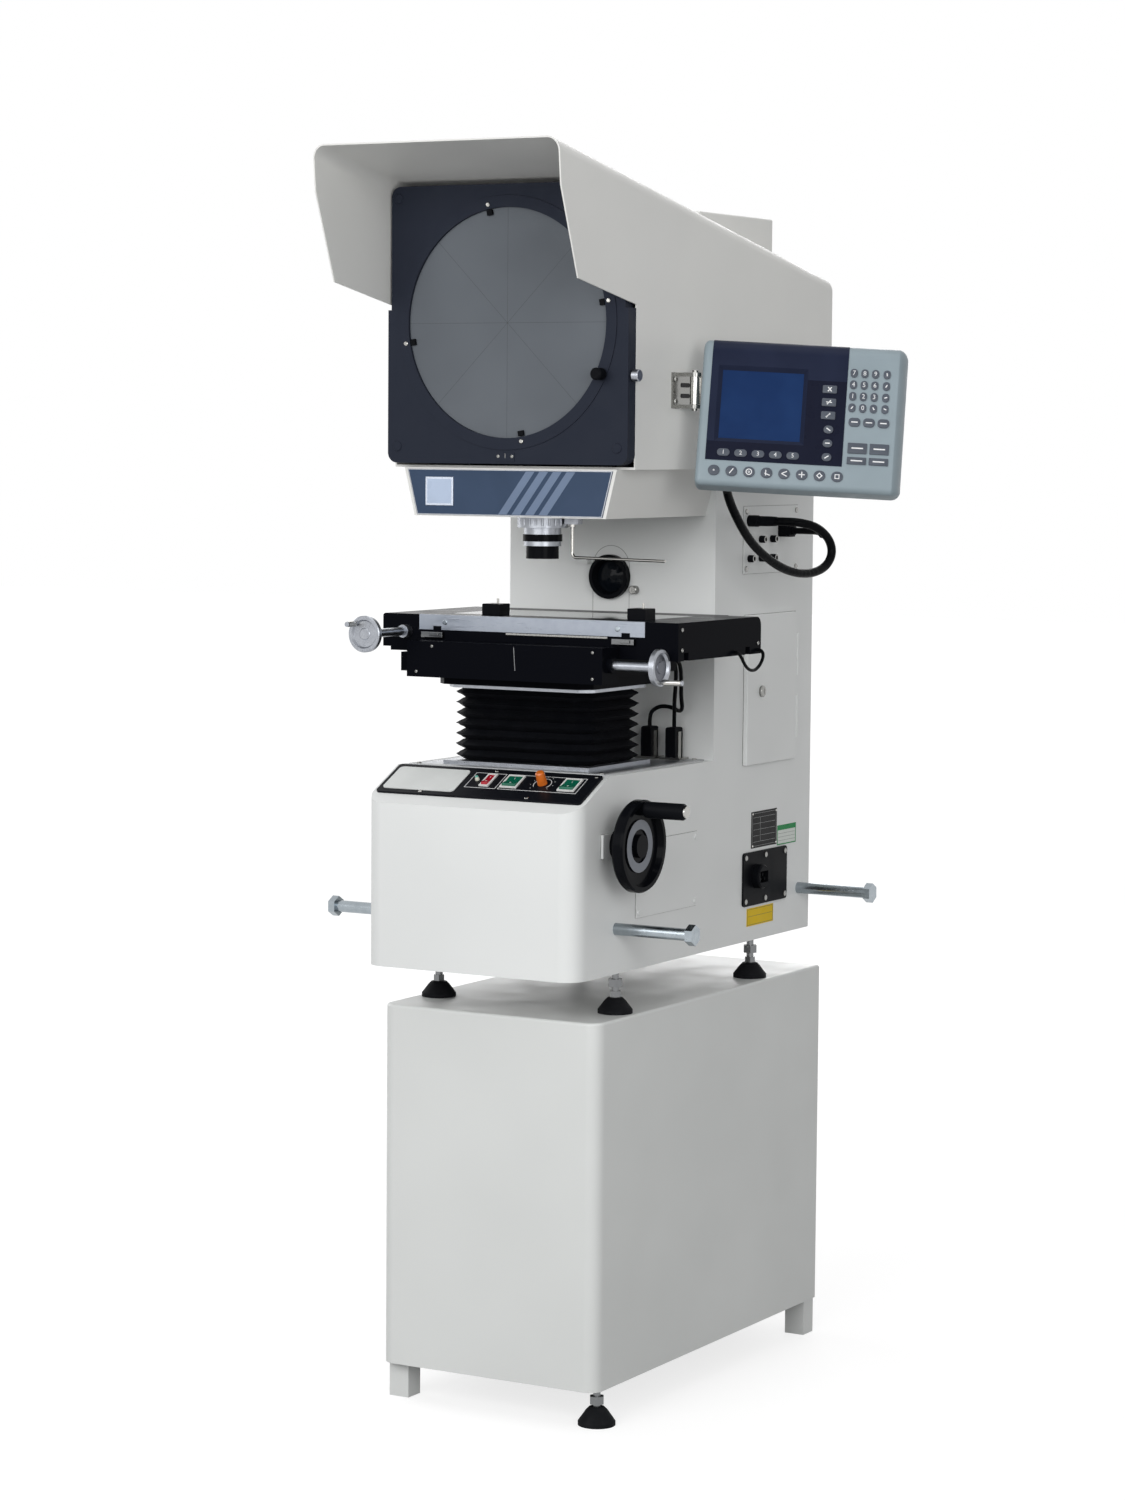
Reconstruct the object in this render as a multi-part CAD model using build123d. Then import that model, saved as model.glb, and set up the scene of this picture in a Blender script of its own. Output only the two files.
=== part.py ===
from build123d import *
import math
import os

# Profile projector on its stand: millimetres, +Z up, front towards -Y, viewer's right is +X.
# The origin lies on the floor, under the middle of the stand.

# Stand: folded cabinet over a welded tube frame
cabinet_width = 333
cabinet_depth = 651
cabinet_bottom = 50
cabinet_top = 538.5
cabinet_sheet = 2
cabinet_edge_radius = 20
cabinet_top_radius = 4
rear_flange = 25
rear_panel_sheet = 1.5
rear_panel_lap = 12
frame_tube = 30
frame_tube_wall = 2
front_post_setback = 18.5
stand_foot_height = 24
stand_foot_radius = 25
stand_nut_bottom = 28
foot_stud_radius = 5
foot_plug_height = 6

# Machine feet between cabinet and base
foot_x = 137
foot_y_front = -227.5
foot_y_rear = 162.5
foot_cup_height = 20.5
foot_cup_radius = 23.3
foot_cup_top_radius = 10.5
foot_rim = 5
foot_collar_lift = 21.5
foot_collar_height = 8
foot_collar_flats = 14
foot_nut_lift = 35
foot_nut_height = 10.5
foot_nut_flats = 18

# Base and column: one painted shell
base_gap = 58.9
base_half = 162
base_front = -379
base_rear = 295.5
base_height = 260.6
base_wall = 3
base_edge_radius = 28
slope_low = 217.6
slope_depth = 85.5
column_front = -3.5
column_top = 1255
base_plate_thickness = 12
fit = 0.1
slide_gap = 0.3

# Lifting bolts screwed into blocks on the base plate
lift_bolt_radius = 8
lift_bolt_reach = 108
lift_bolt_height = 657
lift_bolt_front = -272.5
lift_bolt_rear = 261.5
lift_bolt_head_flats = 24
lift_bolt_head = 10
lift_bolt_inside = 27
lift_block = 40

# Bellows, knee and stage
lens_y = -192
bellows_half = 108
bellows_front = -255.5
bellows_rear = -95.5
bellows_height = 98
bellows_pleats = 7
pleat_depth = 12
bellows_chamfer = 15
bellows_wall = 3
top_plate_thickness = 1.5
bellows_frame_thickness = 4.5
bellows_frame_lip = 4
silver_plate_thickness = 5
knee_half = 118
knee_front = -273.5
knee_rear = -85.5
knee_thickness = 18
stage_base_half = 150
stage_base_front = -306.5
stage_base_rear = -90
stage_base_thickness = 25
light_radius = 36
rail_width = 12
rail_height = 12
rail_front_y = -284
rail_rear_y = -112

# X screw box with its handwheel
screw_box_left = -113
screw_box_right = 182
screw_box_front = -350.5
screw_box_drop = 4
screw_box_height = 47
screw_box_wall = 8
x_shaft_radius = 5.75
x_shaft_y = -330.5
x_shaft_lift = 24
x_wheel_reach = 60
small_wheel_radius = 24
small_wheel_thickness = 16
x_nut_x = 50
x_nut_half = 9
crank_radius = 18.6
crank_pin_radius = 2
crank_grip_radius = 4
x_crank_length = 30
y_crank_length = 20

# X carriage and Y table
carriage_left = -179
carriage_right = 268
carriage_front = -305.5
carriage_rear = -73.5
carriage_gap = 2
carriage_height = 28.7
table_left = -122
table_right = 219
table_thickness = 20
table_bar = 5
y_rail_left = -94
y_rail_right = 191
y_rail_height = 5
left_block_bottom = 5
block_edge_radius = 12
window_half_x = 93
window_half_y = 44
carriage_window_left = -75
carriage_window_right = 165
glass_half_x = 147
glass_half_y = 66
glass_thickness = 5
clamp_size = 27
clamp_height = 14
clamp_y = -241.5
clamp_left_x = -42
clamp_right_x = 178.5
y_shaft_x = -141
y_shaft_lift = 26
y_wheel_reach = 90.5
y_boss_radius = 8.5

# Focus drive: handwheel, bevel gears, upright screw, hollow column
wheel_y = -278.5
wheel_z = 768.5
wheel_shaft_radius = 8
wheel_plate_thickness = 4
wheel_offset = 29
wheel_rim_radius = 60.7
wheel_rim_width = 16
wheel_crank_radius = 48
wheel_grip_radius = 10.85
wheel_grip_length = 59.2
bevel_far = 20
bevel_near = 13
bevel_teeth = 16
screw_radius = 8
column_tube_radius = 45
column_tube_bore = 39
column_tube_bottom = 735
hanger_arm = 15
lift_up = 40
guide_radius = 55
guide_flange_radius = 65
guide_flange = 6
nut_half = 18
nut_thickness = 14
nut_bottom = 667
hanger_front = -254
hanger_rear = -242

# Control panel on the slope
panel_half = 156
panel_depth = 69.6
panel_thickness = 3
panel_shift = 10.3
fittings_shift = 16.5
rocker_length = 24.8
rocker_swing = 16
red_rocker_x = -3
green_rocker_x = (34, 120.5)
knob_x = 79
lamp_x = -20
red_bezel_width = 14
green_bezel_width = 25
bezel_length = 30
bezel_height = 2
bezel_rim = 2
knob_radius = 6.7
knob_height = 18
cream_left = -150
cream_right = -40
cream_half = 27

# Covers, doors and plates on the column and the base
cover_sheet = 1.5
side_cover_front = -220.5
side_cover_rear = -49.5
side_cover_low = 665
side_cover_high = 766
wheel_plate_ahead = 36.5
wheel_plate_behind = 37.5
wheel_plate_half_height = 15.5
slot_half = 28.75
slot_top = 1148
slot_bottom = 1000
slot_backing = 4
door_front = 83.5
door_rear = 234.5
door_low = 845
door_high = 1053
door_depth = 7
door_frame_lip = 11.5
hinge_axis_x = 166.2
hinge_axis_y = 239
hinge_radius = 3
hinge_pin_radius = 1.5
latch_y = 125.5
latch_z = 946
socket_panel_front = 77.5
socket_panel_rear = 244.5
socket_panel_low = 1110
socket_panel_high = 1203
socket_pitch = 34
socket_first_y = 93
socket_low_z = 1131
socket_row = 26
socket_radius = 5
socket_length = 9
power_plate_front = 86
power_plate_rear = 220.5
power_plate_low = 647
power_plate_high = 722
power_plate_thickness = 2.5
power_screw_top = 725
side_cover_top = 800
inlet_radius = 17
inlet_y = 126.5
inlet_z = 687
label_sheet = 0.5
tall_label = (112.5, 191, 726.5, 777.5)
upper_label = (192.5, 251, 724, 752)
lower_label = (101.5, 182.5, 618, 643)

# Surface lamp in the column
lamp_z = 1105
lamp_flange_radius = 30.5
lamp_flange = 10
lamp_tube_radius = 25
lamp_tube_bore = 21
lamp_tube_length = 62
lamp_travel = 15
lock_x = 38.6
lock_z = 1087.6

# Head: hood and casing, mirror box, chin
casing_half = 183
casing_rear = 304.5
casing_sheet = 2
roof_edge_radius = 18
hood_front = -471.5
hood_top = 1668
roof_rear_z = 1522
hood_mid_y = -465.5
hood_mid_z = 1608
hood_low_y = -421.5
hood_low_z = 1494.7
hood_root_y = -272.5
hood_root_z = 1467.4
casing_front = -270
casing_floor = 3
light_slot_half = 80
light_slot_front = -250
light_slot_rear = 280
mirror_box_half = 100
mirror_box_front = 56.5
mirror_box_rear = 277.5
mirror_box_top = 1606
chin_drop = 64
chin_half_top = 162
chin_half_bottom = 146
chin_front = -280.5
chin_wall = 2.5
name_plate_margin = 5

# Screen
screen_z = 1444.5
screen_radius = 150
screen_front = -290
screen_frame_thickness = 20
screen_frame_half = 182.5
screen_frame_upper_half = 177.5
screen_frame_bottom = 1260.6
screen_frame_corner = 14
ring_radius = 165.5
ring_depth = 11.7
ring_proud = 1
ring_lip = 4
glass_inset = 4
screen_glass_thickness = 6
clip_circle = 156
ring_knob_circle = 160
ring_knob_angle = -24.7
ring_knob_radius = 8
ring_lock_y = -280
ring_lock_z = 1376

# Lens and swing rod
mount_radius = 34
mount_height = 15
lens_silver_radius = 25
lens_band_radius = 26.5
lens_barrel_radius = 22
lens_ring_height = 9
lens_band_height = 9.3
lens_neck_height = 6.1
lens_barrel_height = 17.1
rod_radius = 2
rod_x = 45
rod_y = -190.5
rod_drop = 54
rod_tip = (199, -215.5)

# Mirrors
first_mirror_z = 1285
first_mirror_half = 60
first_mirror_tilt = 55.16
rear_mirror_y = 234.5
rear_mirror_half_x = 95
rear_mirror_half = 115
rear_mirror_tilt = 10.15
mirror_glass = 6

# Readout on its swivel bracket
readout_x = 344.6
readout_y = -115.3
readout_z = 1327.3
readout_turn = 25.1
readout_lean = 15.7
readout_roll = -2.8
readout_width = 267
readout_height = 200
readout_depth = 30
overlay_left = -121
overlay_right = 50
display_width = 104
display_height = 96
display_x = -68
display_y = 15
pin_x = 203
pin_y = -145
pin_radius = 4
bracket_low = 1335
bracket_high = 1382
bracket_front = -174
bracket_rear = -107
bracket_sheet = 2.5

# Fan and power supply on the rear part of the base
fan_x = -60
fan_z = 690
fan_size = 92
fan_depth = 25
fan_wall = 3
supply_left = 60
supply_right = 150
supply_front = 60
supply_rear = 236
supply_height = 44

# Cords
readout_cable_radius = 6
branch_cable_radius = 4.5
stage_cable_radius = 2.75
reader_cable_radius = 2.2

# Worked-out levels
base_bottom = cabinet_top + base_gap
base_top = base_bottom + base_height
plate_top = base_bottom + base_plate_thickness
slope_rise = base_height - slope_low
inset_top = base_top + top_plate_thickness
bellows_bottom = inset_top + bellows_frame_thickness
bellows_top = bellows_bottom + bellows_height
knee_bottom = bellows_top + silver_plate_thickness
stage_base_bottom = knee_bottom + knee_thickness
stage_base_top = stage_base_bottom + stage_base_thickness
carriage_bottom = stage_base_top + carriage_gap
carriage_top = carriage_bottom + carriage_height
table_bottom = carriage_top + slide_gap
table_top = table_bottom + table_thickness
x_shaft_z = screw_box_drop + x_shaft_lift + stage_base_bottom - 2 * screw_box_drop
y_shaft_z = carriage_bottom + y_shaft_lift
screw_box_bottom = stage_base_bottom - screw_box_drop
screw_box_top = screw_box_bottom + screw_box_height
guide_bottom = column_tube_bottom + hanger_arm + lift_up + 2
table_x = (table_left + table_right) / 2
chin_bottom = column_top - chin_drop
mount_bottom = chin_bottom - mount_height

nodes = {}


def add(name, *shapes):
    solids = [solid for shape in shapes for solid in shape.solids()]
    nodes.setdefault(name, []).extend(solids)


def box(x0, x1, y0, y1, z0, z1):
    middle = Pos((x0 + x1) / 2, (y0 + y1) / 2, (z0 + z1) / 2)
    return middle * Box(x1 - x0, y1 - y0, z1 - z0)


def rod(start, direction, radius, length):
    place = Plane(origin=start, z_dir=direction).location
    return place * Cylinder(radius, length, align=(Align.CENTER, Align.CENTER, Align.MIN))


def turned(start, direction, profile):
    face = make_face(Polyline(*[(r, 0, h) for r, h in profile], close=True))
    return Plane(origin=start, z_dir=direction).location * revolve(face, Axis.Z)


def hexagon(start, direction, flats, height):
    place = Plane(origin=start, z_dir=direction).location
    return place * extrude(RegularPolygon(flats / math.sqrt(3), 6), height)


def side_prism(points, x0, x1):
    face = make_face(Polyline(*[(x0, y, z) for y, z in points], close=True))
    return extrude(face, x1 - x0, dir=(1, 0, 0))


def front_prism(points, y0, y1):
    face = make_face(Polyline(*[(x, y0, z) for x, z in points], close=True))
    return extrude(face, y1 - y0, dir=(0, 1, 0))


def front_rounded(half, y0, y1, z0, z1, radius):
    plan = Pos(0, (y0 + y1) / 2) * Rectangle(2 * half, y1 - y0)
    plan = fillet(plan.vertices().group_by(Axis.Y)[0], radius)
    return Pos(0, 0, z0) * extrude(plan, z1 - z0)


def mirrored(shape):
    return mirror(shape, about=Plane.YZ)


def screw(seat, direction, radius=2.5, head=4.5, height=2.2, length=5):
    back = tuple(-v for v in direction)
    profile = [(0, 0), (head, 0), (head, height * 0.6), (head * 0.75, height), (0, height)]
    return turned(seat, direction, profile) + rod(seat, back, radius, length)


def screw_hole(seat, direction, radius=2.5, length=5):
    back = tuple(-v for v in direction)
    return rod(seat, back, radius + fit, length + 1)


def grid(ys, zs):
    return [(y, z) for y in ys for z in zs]


def square_tube(x0, x1, y0, y1, z0, z1, along):
    wall = frame_tube_wall
    core = [x0 + wall, x1 - wall, y0 + wall, y1 - wall, z0 + wall, z1 - wall]
    open_end = {Axis.X: 0, Axis.Y: 2, Axis.Z: 4}[along]
    core[open_end] -= 2 * wall
    core[open_end + 1] += 2 * wall
    return box(x0, x1, y0, y1, z0, z1) - box(*core)


def make_stand():
    half = cabinet_width / 2
    front = -cabinet_depth / 2
    rear = cabinet_depth / 2
    outer = front_rounded(half, front, rear, cabinet_bottom, cabinet_top, cabinet_edge_radius)
    outer = fillet(outer.edges().group_by(Axis.Z)[-1], cabinet_top_radius)
    hollow = front_rounded(
        half - cabinet_sheet,
        front + cabinet_sheet,
        rear - cabinet_sheet,
        cabinet_bottom - 1,
        cabinet_top - cabinet_sheet,
        cabinet_edge_radius - cabinet_sheet,
    )
    opening = box(
        -half + rear_flange,
        half - rear_flange,
        rear - 2 * cabinet_sheet,
        rear + 1,
        cabinet_bottom + rear_flange,
        cabinet_top - rear_flange,
    )
    lap = rear_flange - rear_panel_lap
    panel = box(
        -half + lap,
        half - lap,
        rear,
        rear + rear_panel_sheet,
        cabinet_bottom + lap,
        cabinet_top - lap,
    )
    shell = outer - hollow - opening
    screw_x = half - (rear_flange + lap) / 2
    screw_low = cabinet_bottom + (rear_flange + lap) / 2
    screw_high = cabinet_top - (rear_flange + lap) / 2
    screw_mid = (screw_low + screw_high) / 2
    back = (0, 1, 0)
    for x in (-screw_x, screw_x):
        for z in (screw_low, screw_mid, screw_high):
            seat = (x, rear + rear_panel_sheet, z)
            reach = rear_panel_sheet + cabinet_sheet
            hole = screw_hole(seat, back, length=reach)
            panel -= hole
            shell -= hole
            add("stand_rear_panel", screw(seat, back, length=reach - 0.2))
    add("stand_cabinet", shell)
    add("stand_rear_panel", panel)

    # The frame: four posts joined by a top and a bottom ring of the same tube
    out = half - cabinet_sheet
    inner = out - frame_tube
    post_front = front + cabinet_sheet + front_post_setback
    post_rear = rear - cabinet_sheet
    top = cabinet_top - cabinet_sheet
    foot_centre_x = out - frame_tube / 2
    foot_centre_y = post_front + frame_tube / 2
    up = (0, 0, 1)
    stud_hole = rod(
        (foot_centre_x, foot_centre_y, cabinet_bottom - 1), up, foot_stud_radius + fit, frame_tube
    )
    rear_post = post_rear - frame_tube
    for x0, x1 in ((-out, -inner), (inner, out)):
        for y0 in (post_front, rear_post):
            if x0 > 0 and y0 == post_front:
                foot_post = square_tube(x0, x1, y0, y0 + frame_tube, cabinet_bottom, top, Axis.Z)
                foot_post += box(
                    x0 + 1,
                    x1 - 1,
                    y0 + 1,
                    y0 + frame_tube - 1,
                    cabinet_bottom,
                    cabinet_bottom + foot_plug_height,
                )
                add("stand_frame", foot_post - stud_hole)
            else:
                add("stand_frame", square_tube(x0, x1, y0, y0 + frame_tube, 0, top, Axis.Z))
        for z0 in (cabinet_bottom, top - frame_tube):
            rail = square_tube(
                x0, x1, post_front + frame_tube, rear_post, z0, z0 + frame_tube, Axis.Y
            )
            add("stand_frame", rail)
    for y0 in (post_front, rear_post):
        for z0 in (cabinet_bottom, top - frame_tube):
            rail = square_tube(-inner, inner, y0, y0 + frame_tube, z0, z0 + frame_tube, Axis.X)
            add("stand_frame", rail)
    add_foot(
        foot_centre_x,
        foot_centre_y,
        0,
        (stand_foot_radius, stand_foot_height, foot_cup_top_radius),
        (stand_nut_bottom,),
        cabinet_bottom + foot_plug_height + 6,
    )


def add_foot(x, y, floor, cup, nuts, top):
    up = (0, 0, 1)
    radius, height, top_radius = cup
    seat = height * 0.5
    profile = [
        (0, 0),
        (radius, 0),
        (radius, foot_rim),
        (top_radius + 4, height - 4),
        (top_radius, height),
        (foot_stud_radius + fit, height),
        (foot_stud_radius + fit, seat),
        (0, seat),
    ]
    add("foot_cups", turned((x, y, floor), up, profile))
    stud = rod((x, y, floor + seat), up, foot_stud_radius, top - floor - seat)
    if floor > 0:
        stud += hexagon(
            (x, y, floor + foot_collar_lift), up, foot_collar_flats, foot_collar_height
        )
    add("foot_studs", stud)
    for z in nuts:
        nut = hexagon((x, y, z), up, foot_nut_flats, foot_nut_height)
        nut -= rod((x, y, z - 1), up, foot_stud_radius + fit, foot_nut_height + 2)
        add("foot_studs", nut)


def make_feet():
    for x in (-foot_x, foot_x):
        for y in (foot_y_front, foot_y_rear):
            add_foot(
                x,
                y,
                cabinet_top,
                (foot_cup_radius, foot_cup_height, foot_cup_top_radius),
                (cabinet_top + foot_nut_lift,),
                plate_top,
            )


slope_angle = math.degrees(math.atan2(slope_rise, slope_depth))
slope_normal = (0, -math.sin(math.radians(slope_angle)), math.cos(math.radians(slope_angle)))
slope_centre = (0, base_front + slope_depth / 2, base_bottom + slope_low + slope_rise / 2)
slope_plane = Plane(origin=slope_centre, x_dir=(1, 0, 0), z_dir=slope_normal)


def on_slope(shape):
    return slope_plane.location * shape


def base_form(inset):
    block = front_rounded(
        base_half - inset,
        base_front + inset,
        base_rear - inset,
        base_bottom,
        base_top - inset,
        base_edge_radius - inset,
    )
    block -= on_slope(box(-200, 200, -150, 150, -inset, 200))
    bottom = base_top - 30
    top = column_top + (inset > 0)
    tower = box(
        -base_half + inset,
        base_half - inset,
        column_front + inset,
        base_rear - inset,
        bottom,
        top,
    )
    return block + tower


def make_base():
    wall = base_wall
    shell = base_form(0) - base_form(wall)
    shell -= front_rounded(
        base_half - wall,
        base_front + wall,
        base_rear - wall,
        base_bottom - 1,
        base_bottom + 1,
        base_edge_radius - wall,
    )
    up = (0, 0, 1)
    right = (1, 0, 0)
    # Light opening over the lift guide
    shell -= rod((0, lens_y, base_top - 2 * wall), up, column_tube_radius + 3, 3 * wall)
    # Window behind the control panel
    shell -= on_slope(
        box(
            lamp_x - 8,
            green_rocker_x[1] + green_bezel_width / 2 + 2,
            fittings_shift - bezel_length / 2 - 1,
            fittings_shift + bezel_length / 2 + 1,
            -2 * wall,
            1,
        )
    )
    # Focus shaft hole and the four lifting bolt holes
    inside = base_half - 2 * wall
    shell -= rod((inside, wheel_y, wheel_z), right, wheel_shaft_radius + 1, 3 * wall)
    for y in (lift_bolt_front, lift_bolt_rear):
        hole = rod((inside, y, lift_bolt_height), right, lift_bolt_radius + fit, 3 * wall)
        shell -= hole
        shell -= mirrored(hole)
    # Openings behind the side cover, the door, the inlet and the slot cover
    shell -= box(
        inside,
        base_half + 1,
        side_cover_front + 15,
        side_cover_rear - 15,
        side_cover_low + 15,
        side_cover_high - 15,
    )
    shell -= box(
        inside,
        base_half + 1,
        door_front + door_frame_lip,
        door_rear - door_frame_lip,
        door_low + door_frame_lip,
        door_high - door_frame_lip,
    )
    shell -= rod((inside, inlet_y, inlet_z), right, inlet_radius + fit, 3 * wall)
    slot = box(
        -slot_half,
        slot_half,
        column_front - 1,
        column_front + 2 * wall,
        slot_bottom,
        slot_top - slot_half,
    )
    slot += rod((0, column_front - 1, slot_top - slot_half), (0, 1, 0), slot_half, 2 * wall + 1)
    shell -= slot
    shell -= rod((lock_x, column_front - 1, lock_z), (0, 1, 0), 2.5 + fit, 2 * wall)
    # Sockets, and air slots over the fan at the rear
    for y, z in socket_places():
        shell -= rod((inside, y, z), right, 4 + fit, 3 * wall)
    for i in range(7):
        z = fan_z - 36 + 12 * i
        reach = math.sqrt(max(40**2 - (z - fan_z) ** 2, 100))
        shell -= box(
            fan_x - reach, fan_x + reach, base_rear - 2 * wall, base_rear + 1, z - 2, z + 2
        )
    for seat, direction, length in plate_screws():
        shell -= screw_hole(seat, direction, length=length)
    add("base_housing", shell)

    # Thick base plate with threaded blocks for the lifting bolts and a foot bearing for the screw
    plate = front_rounded(
        base_half - wall,
        base_front + wall,
        base_rear - wall,
        base_bottom,
        plate_top,
        base_edge_radius - wall,
    )
    block_top = lift_bolt_height + lift_block / 2
    for y in (lift_bolt_front, lift_bolt_rear):
        block = box(
            base_half - wall - lift_bolt_inside - 6,
            base_half - wall,
            y - lift_block / 2,
            y + lift_block / 2,
            plate_top,
            block_top,
        )
        block -= rod(
            (base_half - wall - lift_bolt_inside, y, lift_bolt_height),
            right,
            lift_bolt_radius + fit,
            lift_block,
        )
        plate += block
        plate += mirrored(block)
        bolt = rod(
            (base_half - wall - lift_bolt_inside, y, lift_bolt_height),
            right,
            lift_bolt_radius,
            lift_bolt_inside + wall + lift_bolt_reach,
        )
        bolt += hexagon(
            (base_half + lift_bolt_reach, y, lift_bolt_height),
            right,
            lift_bolt_head_flats,
            lift_bolt_head,
        )
        add("lifting_bolts", bolt, mirrored(bolt))
    plate += rod((0, wheel_y, plate_top), up, 18, 6.6)
    plate -= rod((0, wheel_y, plate_top + 0.6), up, screw_radius + fit, 10)
    for x in (-foot_x, foot_x):
        for y in (foot_y_front, foot_y_rear):
            plate -= rod((x, y, base_bottom - 1), up, foot_stud_radius + fit, 20)
    add("base_plate", plate)

    # Grey top plate on the base, and the silver frame that holds the bellows
    light_hole = rod((0, lens_y, base_top - 1), up, column_tube_radius + 3, 20)
    plate_rear = column_front - 4
    plate_front = base_front + slope_depth + 8
    inset = box(-150, 150, plate_front, plate_rear, base_top, inset_top) - light_hole
    for x in (-140, 140):
        for y in (plate_front + 10, plate_rear - 10):
            seat = (x, y, inset_top)
            inset -= screw_hole(seat, up, radius=2, length=top_plate_thickness)
            add("base_top_plates", screw(seat, up, radius=2, head=3.6, height=1.6, length=1.3))
    lip = bellows_frame_lip
    frame = box(
        -bellows_half - lip,
        bellows_half + lip,
        bellows_front - lip,
        bellows_rear + lip,
        inset_top,
        bellows_bottom,
    )
    add("base_top_plates", inset, frame - light_hole)


def socket_places():
    places = []
    for column in range(1, 3):
        places.append((socket_first_y + column * socket_pitch, socket_low_z + socket_row))
    for column in range(3):
        places.append((socket_first_y + column * socket_pitch, socket_low_z))
    return places


def plate_screws():
    right = (1, 0, 0)
    found = []
    inset = 7
    x = base_half + cover_sheet
    reach = cover_sheet + base_wall
    for y, z in grid(
        (side_cover_front + inset, side_cover_rear - inset),
        (side_cover_low + inset, side_cover_high - inset),
    ):
        found.append(((x, y, z), right, reach))
    for y, z in grid(
        (socket_panel_front + inset, socket_panel_rear - inset),
        (socket_panel_low + inset, socket_panel_high - inset),
    ):
        found.append(((x, y, z), right, reach))
    x = base_half + power_plate_thickness
    middle = (power_plate_front + power_plate_rear) / 2
    for y, z in grid(
        (power_plate_front + inset, middle, power_plate_rear - inset),
        (power_plate_low + inset, power_plate_high - inset),
    ):
        found.append(((x, y, z), right, power_plate_thickness + base_wall))
    return found


def make_covers():
    right = (1, 0, 0)
    outside = base_half + cover_sheet
    cover = box(
        base_half, outside, side_cover_front, side_cover_rear, side_cover_low, side_cover_high
    )
    sockets = box(
        base_half,
        outside,
        socket_panel_front,
        socket_panel_rear,
        socket_panel_low,
        socket_panel_high,
    )
    for y, z in socket_places():
        sockets -= rod((base_half - 1, y, z), right, 4 + fit, 5)
        profile = [
            (0, -8),
            (4, -8),
            (4, cover_sheet),
            (socket_radius, cover_sheet),
            (socket_radius, cover_sheet + socket_length),
            (3, cover_sheet + socket_length),
            (3, cover_sheet + 3),
            (0, cover_sheet + 3),
        ]
        add("connector_panel", turned((base_half, y, z), right, profile))
    power = box(
        base_half,
        base_half + power_plate_thickness,
        power_plate_front,
        power_plate_rear,
        power_plate_low,
        power_plate_high,
    )
    power = fillet(power.edges().filter_by(Axis.X), 5)
    power -= rod((base_half - 1, inlet_y, inlet_z), right, inlet_radius + fit, 6)
    for seat, direction, length in plate_screws():
        hole = screw_hole(seat, direction, length=length)
        fixing = screw(seat, direction, head=3.8, height=1.8, length=length - 0.2)
        y = seat[1]
        z = seat[2]
        if z < power_screw_top and y > power_plate_front:
            power -= hole
            add("power_inlet", fixing)
        elif z < side_cover_top:
            cover -= hole
            add("access_covers", fixing)
        else:
            sockets -= hole
            add("connector_panel", fixing)
    inlet_face = power_plate_thickness + 12
    inlet = turned(
        (base_half, inlet_y, inlet_z),
        right,
        [
            (0, -22),
            (inlet_radius, -22),
            (inlet_radius, inlet_face - 2),
            (inlet_radius - 2, inlet_face),
            (0, inlet_face),
        ],
    )
    inlet -= box(
        base_half + 2, base_half + 20, inlet_y - 12, inlet_y + 12, inlet_z - 8, inlet_z + 8
    )
    for y, z in ((-6, -3), (0, 3), (6, -3)):
        pin = box(
            base_half + 2,
            base_half + 12,
            inlet_y + y - 1,
            inlet_y + y + 1,
            inlet_z + z - 2,
            inlet_z + z + 2,
        )
        inlet += pin
    add("connector_panel", sockets)
    add("power_inlet", power, inlet)
    add("access_covers", cover)

    # Flange plate that carries the focus shaft
    flange = box(
        base_half,
        base_half + wheel_plate_thickness,
        wheel_y - wheel_plate_ahead,
        wheel_y + wheel_plate_behind,
        wheel_z - wheel_plate_half_height,
        wheel_z + wheel_plate_half_height,
    )
    flange -= rod((base_half - 1, wheel_y, wheel_z), right, wheel_shaft_radius + fit, 8)
    add("access_covers", flange)

    # Slot cover, flush with the column, on a wider backing sheet inside
    gap = slide_gap
    back = column_front + base_wall
    centre_z = slot_top - slot_half
    radius = slot_half - gap
    face = box(-radius, radius, column_front, back, slot_bottom + gap, centre_z)
    face += rod((0, column_front, centre_z), (0, 1, 0), radius, base_wall)
    face += box(
        -slot_half - 6,
        slot_half + 6,
        back,
        back + slot_backing,
        slot_bottom - 8,
        slot_top + 8,
    )
    face -= rod((0, column_front - 1, lamp_z), (0, 1, 0), lamp_tube_radius + fit, 20)
    face -= rod((lock_x, column_front - 1, lock_z), (0, 1, 0), 2.5 + fit, 20)
    clip = box(-47, -33, column_front - 9, column_front, lamp_z + 17, lamp_z + 27)
    add("access_covers", face, clip)


def make_labels():
    for place in (tall_label, upper_label, lower_label):
        add("label_plates", box(base_half, base_half + label_sheet, *place))
    cream = box(
        cream_left,
        cream_right,
        panel_shift - cream_half,
        panel_shift + cream_half,
        panel_thickness,
        panel_thickness + 1,
    )
    cream = fillet(cream.edges().filter_by(Axis.Z), 6)
    add("label_plates", on_slope(cream))
    # Bare name plate on the chin
    margin = name_plate_margin
    top = column_top - 2
    lean = (chin_half_top - chin_half_bottom) / chin_drop
    low = chin_bottom + 1.5
    half_top = chin_half_top - margin - lean * 2
    half_low = chin_half_top - margin - lean * (column_top - low)
    points = [(-half_top, top), (half_top, top), (half_low, low), (-half_low, low)]
    add("label_plates", front_prism(points, chin_front - 1.2, chin_front))


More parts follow.
